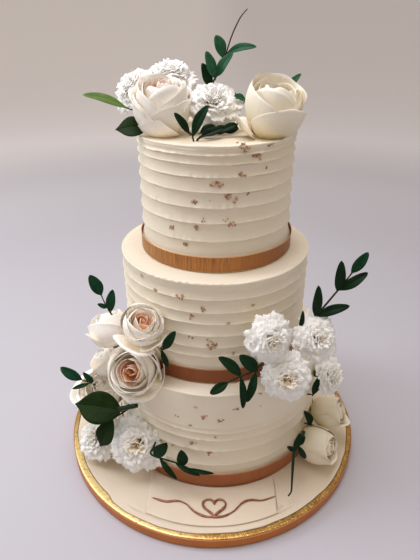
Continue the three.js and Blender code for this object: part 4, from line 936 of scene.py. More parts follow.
# top: one open rose and one large bud
rose("rose_top", "top_rose", (-45.0, -11, 394.0), 26.0, (0.1, -0.25, 0.95), 0.4, 2606,
     [(2, 0.06, 0.72, 0.12, 1.9, 0.10, 0.0, 1.0, 0.4), (3, 0.13, 0.76, 0.22, 1.4, 0.14, 0.0, 1.0, 0.4), (3, 0.22, 0.80, 0.36, 1.35, 0.14, 0.0, 0.9, 0.35),
      (3, 0.32, 0.84, 0.50, 1.35, 0.18, 0.03, 0.5, 0.2), (3, 0.43, 0.88, 0.66, 1.4, 0.20, 0.05, 0.2, 0.0), (3, 0.54, 0.90, 0.80, 1.4, 0.22, 0.06, 0.05, 0.0)], low=-0.98, heart=1.0, jitter=1.7, nu=19, nv=11,
     guards=[g_(1.7, 1.45, (0.1, -0.98), (0.88, -0.95), (1.02, 0.25), (0.72, 0.88), curl=0.16, top=0.18, power=2.8, wave=0.03, base=0.9),
             g_(-0.4, 1.3, (0.1, -0.98), (0.90, -0.95), (1.04, 0.2), (0.70, 0.86), curl=0.08, top=0.2, power=2.6, tilt=0.08, wave=0.03, base=0.9),
             g_(-2.8, 1.3, (0.1, -0.98), (0.92, -0.96), (1.08, 0.1), (0.76, 0.80), curl=0.08, top=0.2, power=2.6, tilt=-0.08, wave=0.03, base=0.9),
             g_(0.4, 1.15, (0.1, -0.98), (0.96, -0.96), (1.12, 0.1), (0.86, 0.66), curl=0.14, top=0.24, power=2.6, wave=0.04, base=0.85),
             g_(3.25, 1.0, (0.1, -0.98), (0.98, -0.95), (1.14, 0.1), (0.96, 0.52), curl=0.16, top=0.24, power=2.4, tilt=-0.05, wave=0.04, base=0.85),
             g_(-1.05, 1.0, (0.1, -0.98), (0.98, -0.98), (1.14, 0.0), (0.88, 0.50), curl=0.09, top=0.24, power=2.2, tilt=0.16, wave=0.03, base=0.85),
             g_(-2.35, 0.95, (0.1, -0.98), (0.99, -0.98), (1.16, -0.1), (0.96, 0.34), curl=0.07, top=0.26, power=2.0, tilt=-0.20, wave=0.025, base=0.8),
             g_(-1.55, 0.75, (0.1, -0.98), (1.0, -1.0), (1.20, -0.4), (1.04, -0.06), curl=0.08, top=0.40, power=1.6, wave=0.02, tilt=-0.12, base=0.7, point=0.06)])
rose("rose_top_bud", "top_bud_rose", (55.6, -22, 393.0), 26.5, (0.14, -0.12, 0.98), 1.1, 2707, BUD_HEART, low=-1.02, mat=M_BUD_PAINTED_SHADE, heart=0.45, nu=21, nv=12, peak=0.1,
     guards=[g_(1.8, 1.5, (0.1, -1.02), (0.72, -1.0), (1.16, 0.1), (0.72, 1.04), curl=0.09, top=0.20, power=2.6, wave=0.03, base=0.95, nu=29, nv=16),
             g_(0.20, 1.35, (0.1, -1.02), (0.74, -1.0), (1.14, 0.1), (0.78, 0.80), curl=0.12, top=0.16, power=2.6, wave=0.03, tilt=0.16, base=0.95, nu=29, nv=16),
             g_(-2.72, 0.52, (0.1, -1.02), (0.80, -1.06), (1.16, -0.78), (1.30, -0.24), curl=0.04, top=0.34, power=2.2, wave=0.03, base=0.6, nu=17, nv=12),
             g_(-2.60, 1.45, (0.1, -1.02), (0.76, -1.01), (1.22, 0.0), (0.92, 0.64), curl=0.06, top=0.14, power=2.6, wave=0.02, tilt=-0.20, base=0.95, nu=29, nv=16),
             g_(-1.15, 1.30, (0.1, -1.02), (0.78, -1.05), (1.22, -0.20), (1.02, 0.28), curl=0.04, top=0.34, power=2.3, wave=0.02, tilt=0.04, point=0.03, base=0.95, nu=29, nv=18)])

# right: two half-open roses that face outwards
MOUTH = [(2, 0.05, 0.72, 0.12, 2.0, 0.08, 0.0, 1.0, 0.5), (3, 0.11, 0.76, 0.20, 1.5, 0.10, 0.0, 1.0, 0.5), (3, 0.19, 0.80, 0.34, 1.5, 0.12, 0.0, 1.0, 0.4),
         (3, 0.28, 0.84, 0.52, 1.5, 0.12, 0.01, 0.8, 0.3), (3, 0.37, 0.86, 0.72, 1.5, 0.14, 0.03, 0.3, 0.1)]
rose("rose_right_front", "right_rose_front", (121.0, -78, 38.0), 22.0, (0.80, -0.50, 0.38), 0.3, 2808, MOUTH, low=-0.98, mat=M_ROSE_PAINTED_SHADE, heart=1.0, nu=19, nv=11,
     guards=[g_(1.57, 1.75, (0.1, -0.98), (0.94, -0.97), (1.16, 0.1), (0.40, 0.90), curl=0.04, top=0.05, power=3, wave=0.012, base=0.98, nu=31, nv=18),
             g_(0.2, 1.5, (0.1, -0.98), (0.96, -0.98), (1.18, 0.1), (0.48, 0.88), curl=0.12, top=0.08, power=3, wave=0.02, base=0.98, nu=29, nv=16),
             g_(-3.0, 1.5, (0.1, -0.98), (0.98, -0.98), (1.20, 0.05), (0.50, 0.88), curl=0.14, top=0.08, power=3, wave=0.02, base=0.98, nu=29, nv=16),
             g_(-1.5, 1.35, (0.1, -0.98), (1.00, -0.99), (1.22, 0.1), (0.66, 1.06), curl=0.28, top=0.16, power=3, wave=0.07, base=0.98, nu=29, nv=16)])
rose("rose_right_back", "right_rose_back", (139.5, -43, 54.5), 20.5, (0.80, -0.27, 0.57), 1.9, 2909, MOUTH, low=-0.98, mat=M_ROSE_PAINTED_SHADE, heart=1.0, nu=19, nv=11,
     guards=[g_(1.6, 1.75, (0.1, -0.98), (0.94, -0.97), (1.16, 0.1), (0.42, 0.88), curl=0.08, top=0.05, power=3, wave=0.012, base=0.98, nu=31, nv=18),
             g_(0.0, 1.5, (0.1, -0.98), (0.96, -0.98), (1.18, 0.1), (0.54, 0.86), curl=0.24, top=0.08, power=3, wave=0.04, base=0.98, nu=29, nv=16),
             g_(-3.0, 1.5, (0.1, -0.98), (0.98, -0.98), (1.20, 0.05), (0.52, 0.86), curl=0.12, top=0.08, power=3, wave=0.02, base=0.98, nu=29, nv=16),
             g_(-1.3, 1.35, (0.1, -0.98), (1.00, -0.99), (1.22, 0.1), (0.70, 1.02), curl=0.34, top=0.18, power=3, wave=0.08, base=0.98, nu=29, nv=16)])


def carnation(name, node, at, R, face, spin, seed, flatness=0.0, heart=1.0, hole=True, shift=(0, 0)):
    """Layers of fan-shaped petals with folded blades and toothed edges. The inner ones stand up and are crumpled."""
    g = rng(seed)
    F = Frame(at, face, R)
    b = Build()
    count = 54
    for i in range(count):
        f = (i + 0.5) / count
        rr = 0.05 + 0.99 * f ** 0.80
        phi = spin + i * 2.39996 + g.normal(0, 0.16)
        r1 = rr * g.uniform(0.84, 1.08)
        z1 = (0.57 - 0.63 * rr ** 2.1 + g.normal(0, 0.025)) * (1 - 0.5 * flatness)
        stand = 1 - smooth01((rr - 0.15) / 0.55)
        wide = 0.20 + 0.38 * smooth01(rr / 0.95) + g.normal(0, 0.02)
        ruf = 0.046 + 0.052 * stand
        depth = 1 - smooth01((rr - 0.12) / 0.45)
        nu = 27 if rr > 0.35 else 19
        nv = 6 if rr > 0.35 else 7
        u = np.linspace(-1, 1, nu)
        t = np.linspace(0, 1, nv) ** 0.75
        teeth = g.uniform(0.015, 0.06, nu) * (np.arange(nu) % 2)
        lobes = 0.03 * np.sin(u * g.uniform(4, 7) + g.uniform(0, TAU)) + 0.02 * np.sin(u * g.uniform(9, 13) + g.uniform(0, TAU))
        vmax = 1 - 0.17 * np.abs(u) ** 2.4 - teeth + lobes
        V = t[:, None] * vmax[None, :]
        prof = [(0.03, -0.42), (0.05 + 0.25 * r1, -0.12 + 0.25 * z1), (0.40 * r1 + 0.02, z1 + 0.12), (r1, z1)]
        p = bezier(prof, V)
        r, z = p[..., 0], p[..., 1]
        U = np.broadcast_to(u, V.shape)
        s = smooth01((V - 0.15) / 0.85)
        w = wide * (0.10 + 0.90 * s ** 0.85)
        k1, k2, k3 = g.uniform(2.0, 3.4), g.uniform(4.6, 7.5), g.uniform(9, 13)
        a1, a2, a3 = g.uniform(0, TAU, 3)
        fold = ruf * s ** 1.4 * (0.80 * np.sin(k1 * U + a1 + 0.7 * V) + 0.50 * np.sin(k2 * U + a2 + 1.4 * V) + 0.20 * np.sin(k3 * U + a3))
        lateral = w * U * (1.0 - 0.14 * np.abs(np.sin(k2 * U + a2)))
        # the fold moves the blade along its own normal: up and down for flat petals, in and out for standing ones
        fwd = r + fold * (0.30 + 0.70 * stand)
        zz = z + fold * (1.0 - 0.70 * stand) + 0.05 * U * g.normal(0, 1) * s
        turn = g.normal(0, 0.28) * (0.4 + 0.6 * stand)     # each blade is turned a little about its own claw
        lateral, fwd = lateral * np.cos(turn), fwd + lateral * np.sin(turn)
        P = F(fwd, lateral, zz, phi)
        verts, quads = shell(P, 0.40 * (1 - 0.45 * t[:, None]) * np.ones_like(V))
        two = lambda a: np.concatenate([np.broadcast_to(a, V.shape).ravel()] * 2)
        along = t[:, None] * np.ones_like(V)
        b.add(verts, quads, depth=two(depth * heart), along=two(along), across=two(U), shade=np.full(2 * V.size, g.uniform(0, 1)))
    # calyx tube
    ring = [(0.02, -0.86), (0.11, -0.85), (0.16, -0.78), (0.19, -0.6), (0.2, -0.45), (0.15, -0.32), (0.02, -0.3)]
    a = np.arange(12) * TAU / 12
    P = np.array([[F(np.array(r), np.array(0.0), np.array(z), t) for t in a] for r, z in ring])
    k = len(ring)
    verts = np.vstack([P.reshape(-1, 3), F(np.array(0.0), np.array(0.0), np.array(ring[0][1] - 0.005), 0.0), F(np.array(0.0), np.array(0.0), np.array(ring[-1][1] + 0.005), 0.0)])
    j = np.arange(12)
    q = grid_quads(k, 12, wrap=True)
    c0 = np.stack([np.full(12, k * 12), (j + 1) % 12, j], -1)
    c1 = np.stack([np.full(12, k * 12 + 1), (k - 1) * 12 + j, (k - 1) * 12 + (j + 1) % 12], -1)
    b.add(verts, q, np.vstack([c0, c1]), mat=1, depth=0.0, along=0.3, across=0.0, shade=0.5)
    o = b.make(name, [M_CARNATION, M_SEPAL])
    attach(o, "root")
    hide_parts(node)
    return o


carnation("carnation_top_front", "top_carnation_front", (0.8, -1, 391.0), 29.8, (0.1, -0.6, 0.78), 0.0, 3101, heart=0.15)
carnation("carnation_top_left", "top_carnation_left", (-73.5, 28, 402.0), 26, (-0.5, -0.5, 0.65), 0.7, 3102, heart=0.15)
carnation("carnation_top_back", "top_carnation_back", (-43.0, 46, 407.5), 33, (0, -0.35, 0.93), 0.3, 3103, heart=0.15)
carnation("carnation_left_front", "left_carnation_front", (-80.0, -92, 55.0), 34.5, (-0.02, -0.84, 0.54), 0.0, 3104, heart=0.6)
carnation("carnation_left_back", "left_carnation_back", (-130.5, -72, 38.5), 28, (-0.45, -0.55, 0.7), 0.5, 3105, heart=0.3)
carnation("carnation_right_upper", "right_carnation_upper", (53.6, -102.5, 202.5), 26.5, (0.34, -0.92, 0.20), 0.1, 3106, heart=0.4)
carnation("carnation_right_lower", "right_carnation_lower", (72.6, -104, 160.5), 28.5, (0.0, -0.95, 0.22), 0.6, 3107, heart=0.7)
carnation("carnation_right_side", "right_carnation_side", (101.7, -82, 187.6), 26.5, (0.35, -0.75, 0.52), 0.2, 3108, heart=0.3)
carnation("carnation_right_small", "right_carnation_small", (129.6, -54, 117), 23, (0.66, -0.65, 0.36), 0.9, 3109, heart=0.3)

# cut stems that are pressed into the cake


def inside(key, xy, z):
    t = TIERS[key]
    d = np.array(xy, float) - np.array(t["c"])
    d *= (t["R"] - 4) / np.linalg.norm(d)
    return (t["c"][0] + d[0], t["c"][1] + d[1], z)


FEET = [((-47.3, -11, 391.9), (0.1, -0.75, 0.65), 26, (-46, -4, 367.7)), ((56.7, -20, 393.5), (0.35, -0.4, 0.85), 26.5, (50, -12, 367.7)),
        ((2.3, 0, 391.2), (0.12, -0.75, 0.62), 26.5, (0, 12, 367.7)), ((-73.1, 28, 400.4), (-0.6, -0.5, 0.6), 22.5, (-56, 32, 367.7)),
        ((-40.3, 48, 405.6), (0, -0.35, 0.93), 27.5, (-39, 50, 367.7)),
        ((-67.3, -90, 204.5), (0.39, -0.5, 0.77), 23, inside("middle", (-67, -90), 198)), ((-75.4, -88, 154.5), (-0.03, -0.63, 0.78), 28.7, inside("bottom", (-75, -88), 150)[:2] + (141,)),
        ((-107.8, -52, 180.9), (-0.7, -0.25, 0.65), 23, inside("middle", (-108, -52), 174)), ((-118, -42, 131), (-0.75, -0.35, 0.55), 17, inside("bottom", (-118, -42), 128)),
        ((-81.2, -91.5, 54.5), (0.08, -0.66, 0.74), 34, inside("bottom", (-81, -91), 50)), ((-128.6, -55, 88.4), (-0.15, -0.5, 0.85), 30, inside("bottom", (-128, -55), 78)),
        ((-133.5, -72, 38.5), (-0.5, -0.5, 0.7), 28.5, inside("bottom", (-133, -72), 34)), ((54.1, -102.5, 206.8), (0.25, -0.85, 0.4), 25, inside("middle", (54, -102), 203)),
        ((73.7, -104, 157.3), (-0.13, -0.8, 0.57), 28, inside("middle", (74, -104), 152)), ((101.7, -82, 189.1), (0.45, -0.6, 0.66), 25, inside("middle", (102, -82), 182)),
        ((127, -54, 121), (0.8, -0.4, 0.45), 22, inside("bottom", (127, -54), 118)), ((125.2, -76, 38.4), (0.6, -0.4, 0.69), 23.5, inside("bottom", (125, -76), 34)),
        ((139, -42, 54), (0.85, -0.2, 0.45), 22, inside("bottom", (139, -42), 50))]
M_STEM = stem_material("cut_stem", srgb(48, 66, 32), srgb(92, 108, 58))
sb = Build()
for at, face, R, foot in FEET:
    f = np.array(face) / np.linalg.norm(face)
    a = np.array(at) - f * R * 0.35
    foot = np.array(foot)
    mid = (a + foot) / 2 + (a - foot)[[1, 0, 2]] * np.array([0.04, -0.04, 0])
    path = spline([a, mid, foot], 5)
    v, q, t = sweep(path, np.linspace(2.4, 1.9, len(path)), 10)
    sb.add(v, q, t)
so = sb.make("flower_stems", M_STEM)
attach(so, "root")
# ------------------------------------------------------------------ foliage
M_LEAF = leaf_material("leaf_dark", srgb(8, 32, 14), srgb(16, 48, 22), gloss=0.42)
M_LEAF_MID = leaf_material("leaf_mid", srgb(12, 48, 28), srgb(24, 68, 42), gloss=0.42)
M_LEAF_ROSE = leaf_material("leaf_rose", srgb(14, 32, 4), srgb(28, 48, 9), gloss=0.5)
M_LEAF_LIGHT = leaf_material("leaf_light", srgb(30, 76, 50), srgb(54, 102, 72), gloss=0.42)
# painted shade: a darker copy of the dark leaf, for the leaves in shadow under the top front carnation
M_LEAF_PAINTED_SHADE = leaf_material("leaf_dark_painted_shade", srgb(10, 24, 10), srgb(16, 36, 16), gloss=0.5)
M_LEAF_OLIVE = leaf_material("leaf_olive", srgb(70, 100, 40), srgb(108, 134, 66), gloss=0.4)
M_TWIG = stem_material("twig", srgb(34, 30, 18), srgb(64, 58, 34))
M_TWIG_GREEN = stem_material("twig_green", srgb(18, 34, 15), srgb(34, 54, 26))
VIEW_FACE = (0.1, -0.72, 0.68)


def blade(b, base, tip, width, face=VIEW_FACE, bend=0.08, blunt=0.95, fold=0.20, teeth=0, thick=0.55, mat=0, seed=0, twist=None, point=0.15):
    g = rng(seed)
    B, T = np.array(base, float), np.array(tip, float)
    L = np.linalg.norm(T - B)
    along = (T - B) / L
    up = np.array(face, float)
    up = up - along * (up @ along)
    up /= np.linalg.norm(up)
    side = np.cross(along, up)
    nv = 26 if teeth else 20
    if teeth:
        nv = teeth * 3 + 1
    t = np.linspace(0.004, 1, nv)
    u = np.array([-1, -0.8, -0.55, -0.3, -0.1, 0, 0.1, 0.3, 0.55, 0.8, 1.0])
    if teeth:      # rose leaves run out to a point, the others are blunt
        w = width / 2 * np.sin(np.pi * np.clip(t, 0, 1) ** blunt) ** (0.78 + 0.3 * t) * (1 - point * smooth01((t - 0.7) / 0.3))
    else:
        w = width / 2 * np.sin(np.pi * np.clip(t, 0, 1) ** blunt) ** (0.90 - 0.38 * t)
    w = np.maximum(w, 0.18 + 0.25 * (1 - t))
    if teeth:
        saw = (np.arange(nv) % 3) / 3.0
        w = w * (1 + 0.03 * saw * np.sin(np.pi * t) ** 0.3)
    tw = (g.normal(0, 0.18) if twist is None else twist) * (t - 0.3)
    wav = 0.03 * width * np.sin(t * g.uniform(5, 9) + g.uniform(0, TAU))
    x = u[None, :] * w[:, None]
    lift = fold * np.abs(x) * (0.5 + 0.5 * smooth01(t * 3))[:, None] + bend * L * np.sin(np.pi * t)[:, None] + wav[:, None] * np.abs(u)[None, :] ** 2
    lift = lift - 0.35 * np.exp(-(x / 0.45) ** 2)
    s = side[None, :] * np.cos(tw)[:, None] + up[None, :] * np.sin(tw)[:, None]
    n = up[None, :] * np.cos(tw)[:, None] - side[None, :] * np.sin(tw)[:, None]
    sway = 0.04 * L * g.uniform(-1, 1) * np.sin(np.pi * t)
    P = B + along * (t * L)[:, None, None] + s[:, None] * (x + sway[:, None])[..., None] + n[:, None] * lift[..., None]
    verts, quads = shell(P, thick * (1 - 0.35 * np.abs(u))[None, :] * np.ones((nv, 1)))
    two = lambda a: np.concatenate([np.broadcast_to(a, x.shape).ravel()] * 2)
    b.add(verts, quads, mat=mat, across=two(u[None, :]), along=two(t[:, None]), shade=g.uniform(0, 1))


def sprig(name, node, mat, stem=None, thick=2.0, leaves=(), twig=None, seed=0, taper=0.6, defaults=None, third=None):
    b = Build()
    if stem:
        path = spline(stem, 6)
        k = len(path)
        r = thick / 2 * np.linspace(1.0, taper, k)
        g = rng(seed)
        r = r * (1 + 0.08 * np.sin(np.linspace(0, 12, k) + g.uniform(0, 6)))
        v, q, t = sweep(path, r, 10)
        b.add(v, q, t, mat=1, across=0.0, along=0.0, shade=0.5)
    for i, kw in enumerate(leaves):
        kw = {**(defaults or {}), **kw}
        base, tip = np.array(kw["base"], float), np.array(kw["tip"], float)
        d = (tip - base) / np.linalg.norm(tip - base)
        # leaf stalk
        v, q, t = sweep(np.array([base - d * 1.5, base + d * 0.3, base + d * 1.6]), [thick * 0.26, thick * 0.25, 0.42], 8)
        b.add(v, q, t, mat=1, across=0.0, along=0.0, shade=0.5)
        blade(b, seed=seed * 31 + i, **kw)
    o = b.make(name, [mat, twig or M_TWIG_GREEN] + ([third] if third else []))
    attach(o, "root")
    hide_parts(node)
    return o


sprig("leaf_top_long", "top_leaf_long", M_LEAF_OLIVE, [(-57, 12, 367), (-68, 8, 384), (-81, 5, 390)], 1.8, [dict(base=(-80, 5, 390), tip=(-120.5, 5, 401.7), width=10, face=(-0.1, -0.6, 0.8), fold=0.12)], seed=1)
sprig("leaf_top_rose", "top_leaf_rose", M_LEAF_ROSE, [(-50, -14, 371.2), (-60, -19.0, 376.2)], 2.2, [dict(base=(-58.5, -18.5, 376.5), tip=(-86.8, -25, 375.3), width=21, bend=0.06, teeth=18, fold=0.15)], seed=2)
sprig("sprig_top_front", "top_sprig_front", M_LEAF, [(-15, -42, 367), (-16.5, -45, 374.5), (-19.5, -46.4, 377.5)], 1.6,
      [dict(base=(-18.5, -46.4, 375.5), tip=(-31, -46, 393), width=7.2), dict(base=(-16, -44.6, 373), tip=(-2.4, -38, 398), width=9)], seed=3)
# the third material paints the back leaves darker, as shade
sprig("leaves_top_low", "top_leaves_low", M_LEAF, [(-13, -42, 367.5), (-10, -41, 371.4), (2, -35, 373.6), (10, -29, 374.6)], 2,
      [dict(base=(-9, -40, 372.6), tip=(9.1, -32, 378), width=8, bend=0.02), dict(base=(8.4, -29.5, 374.6), tip=(23, -24, 380), width=7, bend=0.02),
       dict(base=(-10, -30, 373.4), tip=(4, -28, 378.5), width=11, bend=0.02, mat=2), dict(base=(1, -29, 373.8), tip=(14, -27, 377.5), width=9, bend=0.02, mat=2),
       dict(base=(12, -27.6, 373.4), tip=(24.5, -22, 376.5), width=8, bend=0.02, mat=2)], seed=4, third=M_LEAF_PAINTED_SHADE)
sprig("sprig_top_tall", "top_sprig_tall", M_LEAF_LIGHT, [(-8, 26, 367), (-4, 22, 395), (0.8, 15, 410.4), (7.8, 15, 421.6), (13.2, 15, 435.7), (18.4, 15, 450.2), (25.2, 15, 463.5), (31.5, 15, 470.6)], 2.0,
      [dict(base=(10.5, 15, 431), tip=(4, 17, 450.3), width=11, blunt=1.1), dict(base=(13.2, 15, 435), tip=(40.6, 12, 441.1), width=8.5),
       dict(base=(3.1, 14.6, 414.5), tip=(-5, 12, 437.5), width=10.2), dict(base=(4, 14.6, 416), tip=(19.3, 8, 436), width=10),
       dict(base=(-1, 16, 406), tip=(-8.9, 16, 427.5), width=10.2, mat=2)], twig=M_TWIG, seed=5, taper=0.45, third=M_LEAF)
sprig("sprig_top_small", "top_sprig_small", M_LEAF_LIGHT, [(24, 14, 367), (27, 11, 388), (32.6, 9.0, 396.4)], 1.6,
      [dict(base=(27.5, 10.6, 390), tip=(16.3, 12, 404.6), width=6.5), dict(base=(32.4, 8.8, 396.2), tip=(21, 4, 400.4), width=7.5)], seed=6)
sprig("leaf_top_back", "top_leaf_back", M_LEAF_LIGHT, [(54, 16, 367), (63, 12, 399)], 1.8, [dict(base=(62, 12, 398), tip=(82, 8, 419), width=7.5)], seed=7)
sprig("sprig_left_upper", "left_sprig_upper", M_LEAF_MID, [(-80, -49, 180), (-98, -60, 197), (-105.4, -60, 210), (-109.5, -60, 223.8)], 1.8,
      [dict(base=(-109, -60, 222.8), tip=(-118.7, -58, 244.6), width=12), dict(base=(-101.6, -60, 204), tip=(-98.5, -56, 227.3), width=9.6),
       dict(base=(-104.6, -60, 208.6), tip=(-113.7, -62, 214), width=5)], seed=8, twig=M_TWIG)
sprig("sprig_left_far", "left_sprig_far", M_LEAF_MID, [(-126, -48, 92), (-136, -52, 103), (-146.1, -55, 111)], 2,
      [dict(base=(-145, -54.6, 110.2), tip=(-167.9, -52, 125.7), width=11.2), dict(base=(-134, -51, 101.5), tip=(-145.1, -48, 115.2), width=6.8),
       dict(base=(-138, -53.4, 104), tip=(-155, -62, 103.6), width=5)], seed=9)
sprig("sprig_left_inner", "left_sprig_inner", M_LEAF, [(-42, -81, 183), (-48, -96, 186), (-44.5, -100.4, 187)], 2,
      [dict(base=(-46, -100, 186.6), tip=(-33.2, -99, 207.4), width=9), dict(base=(-47.5, -100, 186.6), tip=(-42.2, -99, 165.3), width=6)], seed=10)
sprig("leaf_left_large", "left_leaf_large", M_LEAF_ROSE, [(-79.5, -76.4, 103), (-97, -92.6, 100.4)], 3,
      [dict(base=(-95.6, -92, 100.1), tip=(-146.9, -84, 102.3), width=34, face=(0.05, -0.68, 0.73), bend=0.05, blunt=0.85, teeth=34, fold=0.16, twist=0.1)], seed=11)
sprig("leaf_left_lower", "left_leaf_lower", M_LEAF_ROSE, [(-81.6, -74, 95), (-106, -96, 91)], 2.6,
      [dict(base=(-105, -95.5, 92), tip=(-119.9, -104, 59.6), width=21, face=(-0.25, -0.8, 0.55), teeth=24, fold=0.16, twist=0.0)], seed=12)
sprig("stem_left", "left_stem", M_LEAF, [(-97, -93.6, 104.6), (-86, -97.2, 110.6), (-76.2, -100, 115.6)], 5, [], seed=13, taper=0.95)
sprig("sprig_left_low", "left_sprig_low", M_LEAF, [(-60, -91, 60), (-62, -106, 61.5), (-62, -117, 63), (-36.6, -123, 58.6), (-22, -126, 53), (-11.7, -127, 49.8)], 2.4,
      [dict(base=(-59.5, -117.4, 62), tip=(-45.5, -117, 81), width=13), dict(base=(-29, -124, 55), tip=(-31.1, -120, 74), width=12),
       dict(base=(-54, -119.4, 61.8), tip=(-35.4, -132, 44.9), width=6.2), dict(base=(-24, -125.6, 54), tip=(2.9, -128.6, 49.5), width=4.6),
       dict(base=(-38, -122.6, 58.6), tip=(-11.5, -131, 49), width=5.6)], seed=14)
sprig("sprig_right_upper", "right_sprig_upper", M_LEAF, [(98.5, -72, 200), (122.9, -64, 231.9), (135.4, -60, 248.9)], 2.2,
      [dict(base=(134.4, -60, 248), tip=(148.1, -58, 269.5), width=10, mat=2), dict(base=(123.6, -64, 231.6), tip=(149.6, -62, 250), width=10),
       dict(base=(122.2, -64, 230.6), tip=(122.8, -62, 262.5), width=10.7), dict(base=(103.4, -71, 205.6), tip=(134.7, -70, 217.7), width=10),
       dict(base=(102.6, -71, 204.6), tip=(102.6, -68, 239.1), width=10)], seed=15, twig=M_TWIG, third=M_LEAF_MID)
sprig("sprig_right_left", "right_sprig_left", M_LEAF, [(14.1, -122, 165), (27.9, -120, 171.8), (39, -115, 173.2), (50, -99, 172.2), (49, -79, 171)], 2,
      [dict(base=(28.2, -120, 171.6), tip=(6.9, -113.5, 188.6), width=10.4), dict(base=(44, -114.6, 172.8), tip=(26.4, -112, 189.8), width=12.4),
       dict(base=(16.4, -121.8, 166), tip=(-0.8, -126, 155.4), width=9), dict(base=(27.4, -120.2, 171.6), tip=(30.1, -130, 141.2), width=7),
       dict(base=(42, -115.4, 173), tip=(33.6, -128, 147), width=8.4)], seed=16)
sprig("leaf_right_small", "right_leaf_small", M_LEAF, None, 1.6, [dict(base=(86.5, -80, 196), tip=(88, -78, 217), width=5)], seed=17)
sprig("leaf_right_gap", "right_leaf_gap", M_LEAF, [(104, -58.6, 95), (113, -64.4, 99)], 2, [dict(base=(112, -64, 98), tip=(120.2, -58, 124), width=9)], seed=18)
sprig("leaf_right_calyx", "right_leaf_calyx", M_LEAF, [(118, -62, 50), (106, -66, 58)], 2.4, [dict(base=(115, -62.6, 51.6), tip=(105.6, -62, 72.4), width=9)], seed=19)
sprig("sprig_right_low", "right_sprig_low", M_LEAF, [(104, -74, 52), (99, -92, 66), (92, -107, 69.5), (87, -113.4, 64), (85.3, -122, 50), (84.2, -130, 39), (83.4, -135, 31), (80.2, -138, 27.6)], 4.2,
      [dict(base=(87.6, -113, 66), tip=(92.6, -108, 86), width=7.6), dict(base=(87.4, -113, 66.4), tip=(79, -113, 72), width=5.2),
       dict(base=(91, -109.4, 69.6), tip=(101, -110, 51.2), width=6.4), dict(base=(90, -109.4, 70), tip=(98, -106, 80), width=6.0)], seed=20, twig=M_TWIG_GREEN, taper=0.35)
# ------------------------------------------------------------------ plaque and its piped heart
def plaque_object():
    g = rng(5150)
    cx, cy = TIERS["bottom"]["c"]
    inner_R, outer_R = TIERS["bottom"]["R"] + 1.6 + 0.9 + 1.2, 163.3
    left, right, low, high = -68.0, 69.0, 13.78, 15.0
    n = 90
    s = np.linspace(0, 1, n)
    e1, e2, e3 = g.uniform(0, TAU, 3)
    x0 = left + (right - left) * s
    # cross-section: (share of the way from the inner edge to the outer, inset in mm, height share)
    sec = [(0, 0.25, 0.0), (0, 0.0, 0.25), (0, 0.05, 0.6), (0, 0.3, 0.88), (0, 0.75, 1.0), (0.12, 0, 1.0), (0.3, 0, 1.0), (0.5, 0, 1.0), (0.7, 0, 1.0), (0.88, 0, 1.0),
           (1, 0.75, 1.0), (1, 0.3, 0.88), (1, 0.05, 0.6), (1, 0.0, 0.25), (1, 0.25, 0.0), (0.66, 0, 0.0), (0.33, 0, 0.0)]
    rows = []
    end = np.minimum(s, 1 - s) * (right - left)
    for f, inset, h in sec:
        yi = cy - np.sqrt(inner_R ** 2 - (x0 - cx) ** 2) - (inset if f == 0 else 0)
        yo = -np.sqrt(outer_R ** 2 - x0 ** 2) + (inset if f == 1 else 0)
        y = yi + (yo - yi) * f
        x = x0 + (0.5 * np.sin(5 * f + e1) + 0.3 * np.sin(11 * f + e2)) * np.where(s < 0.5, 1, 1) * (1 - smooth01(end / 4))
        z = low + (high - low) * h
        if h == 1.0:
            z = z - 0.55 * (1 - smooth01(end / 0.9)) - 0.10 * (0.5 + 0.5 * np.sin(0.09 * x0 + 3 * f + e3)) * 1.0
        elif h > 0:
            z = z - 0.3 * h * (1 - smooth01(end / 0.9))
        rows.append(np.stack([x, y, z + 0 * x], -1))
    V = np.stack(rows, 1)                    # [n, k, 3]
    k = V.shape[1]
    q = grid_quads(n, k, wrap=True, flip=True)
    verts = np.vstack([V.reshape(-1, 3), V[0].mean(0), V[-1].mean(0)])
    j = np.arange(k)
    c0 = np.stack([np.full(k, n * k), j, (j + 1) % k], -1)
    c1 = np.stack([np.full(k, n * k + 1), (n - 1) * k + (j + 1) % k, (n - 1) * k + j], -1)
    b = Build()
    b.add(verts, q, np.vstack([c0, c1]))
    # crumbs of fondant torn off at the right end
    for i in range(16):
        a = g.uniform(0, 1)
        px, py = right + 1.2 + abs(g.normal(0, 2.2)), -138 - 10 * a + g.normal(0, 1)
        crumb(b, (px, py, BOARD_TOP + 0.15), g.uniform(0.35, 0.9), g)
    o = b.make("fondant_plaque", M_FONDANT)
    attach(o, "root")
    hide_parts("plaque")


def crumb(b, at, r, g, squash=0.7, mat=0, **attrs):
    """A small lump: a ball of 8 by 5 points, pushed out of round."""
    n, m = 5, 8
    t = np.linspace(0.15, math.pi - 0.15, n)
    a = np.arange(m) * TAU / m
    rr = r * (1 + g.normal(0, 0.16, (n, m)))
    P = np.stack([rr * np.sin(t)[:, None] * np.cos(a), rr * np.sin(t)[:, None] * np.sin(a), rr * squash * np.cos(t)[:, None] * np.ones(m)], -1) + np.array(at)
    verts = np.vstack([P.reshape(-1, 3), P[0].mean(0) + [0, 0, 0.1 * r], P[-1].mean(0) - [0, 0, 0.1 * r]])
    q = grid_quads(n, m, wrap=True, flip=True)
    j = np.arange(m)
    c0 = np.stack([np.full(m, n * m), j, (j + 1) % m], -1)
    c1 = np.stack([np.full(m, n * m + 1), (n - 1) * m + (j + 1) % m, (n - 1) * m + j], -1)
    b.add(verts, q, np.vstack([c0, c1]), mat=mat, **attrs)


plaque_object()

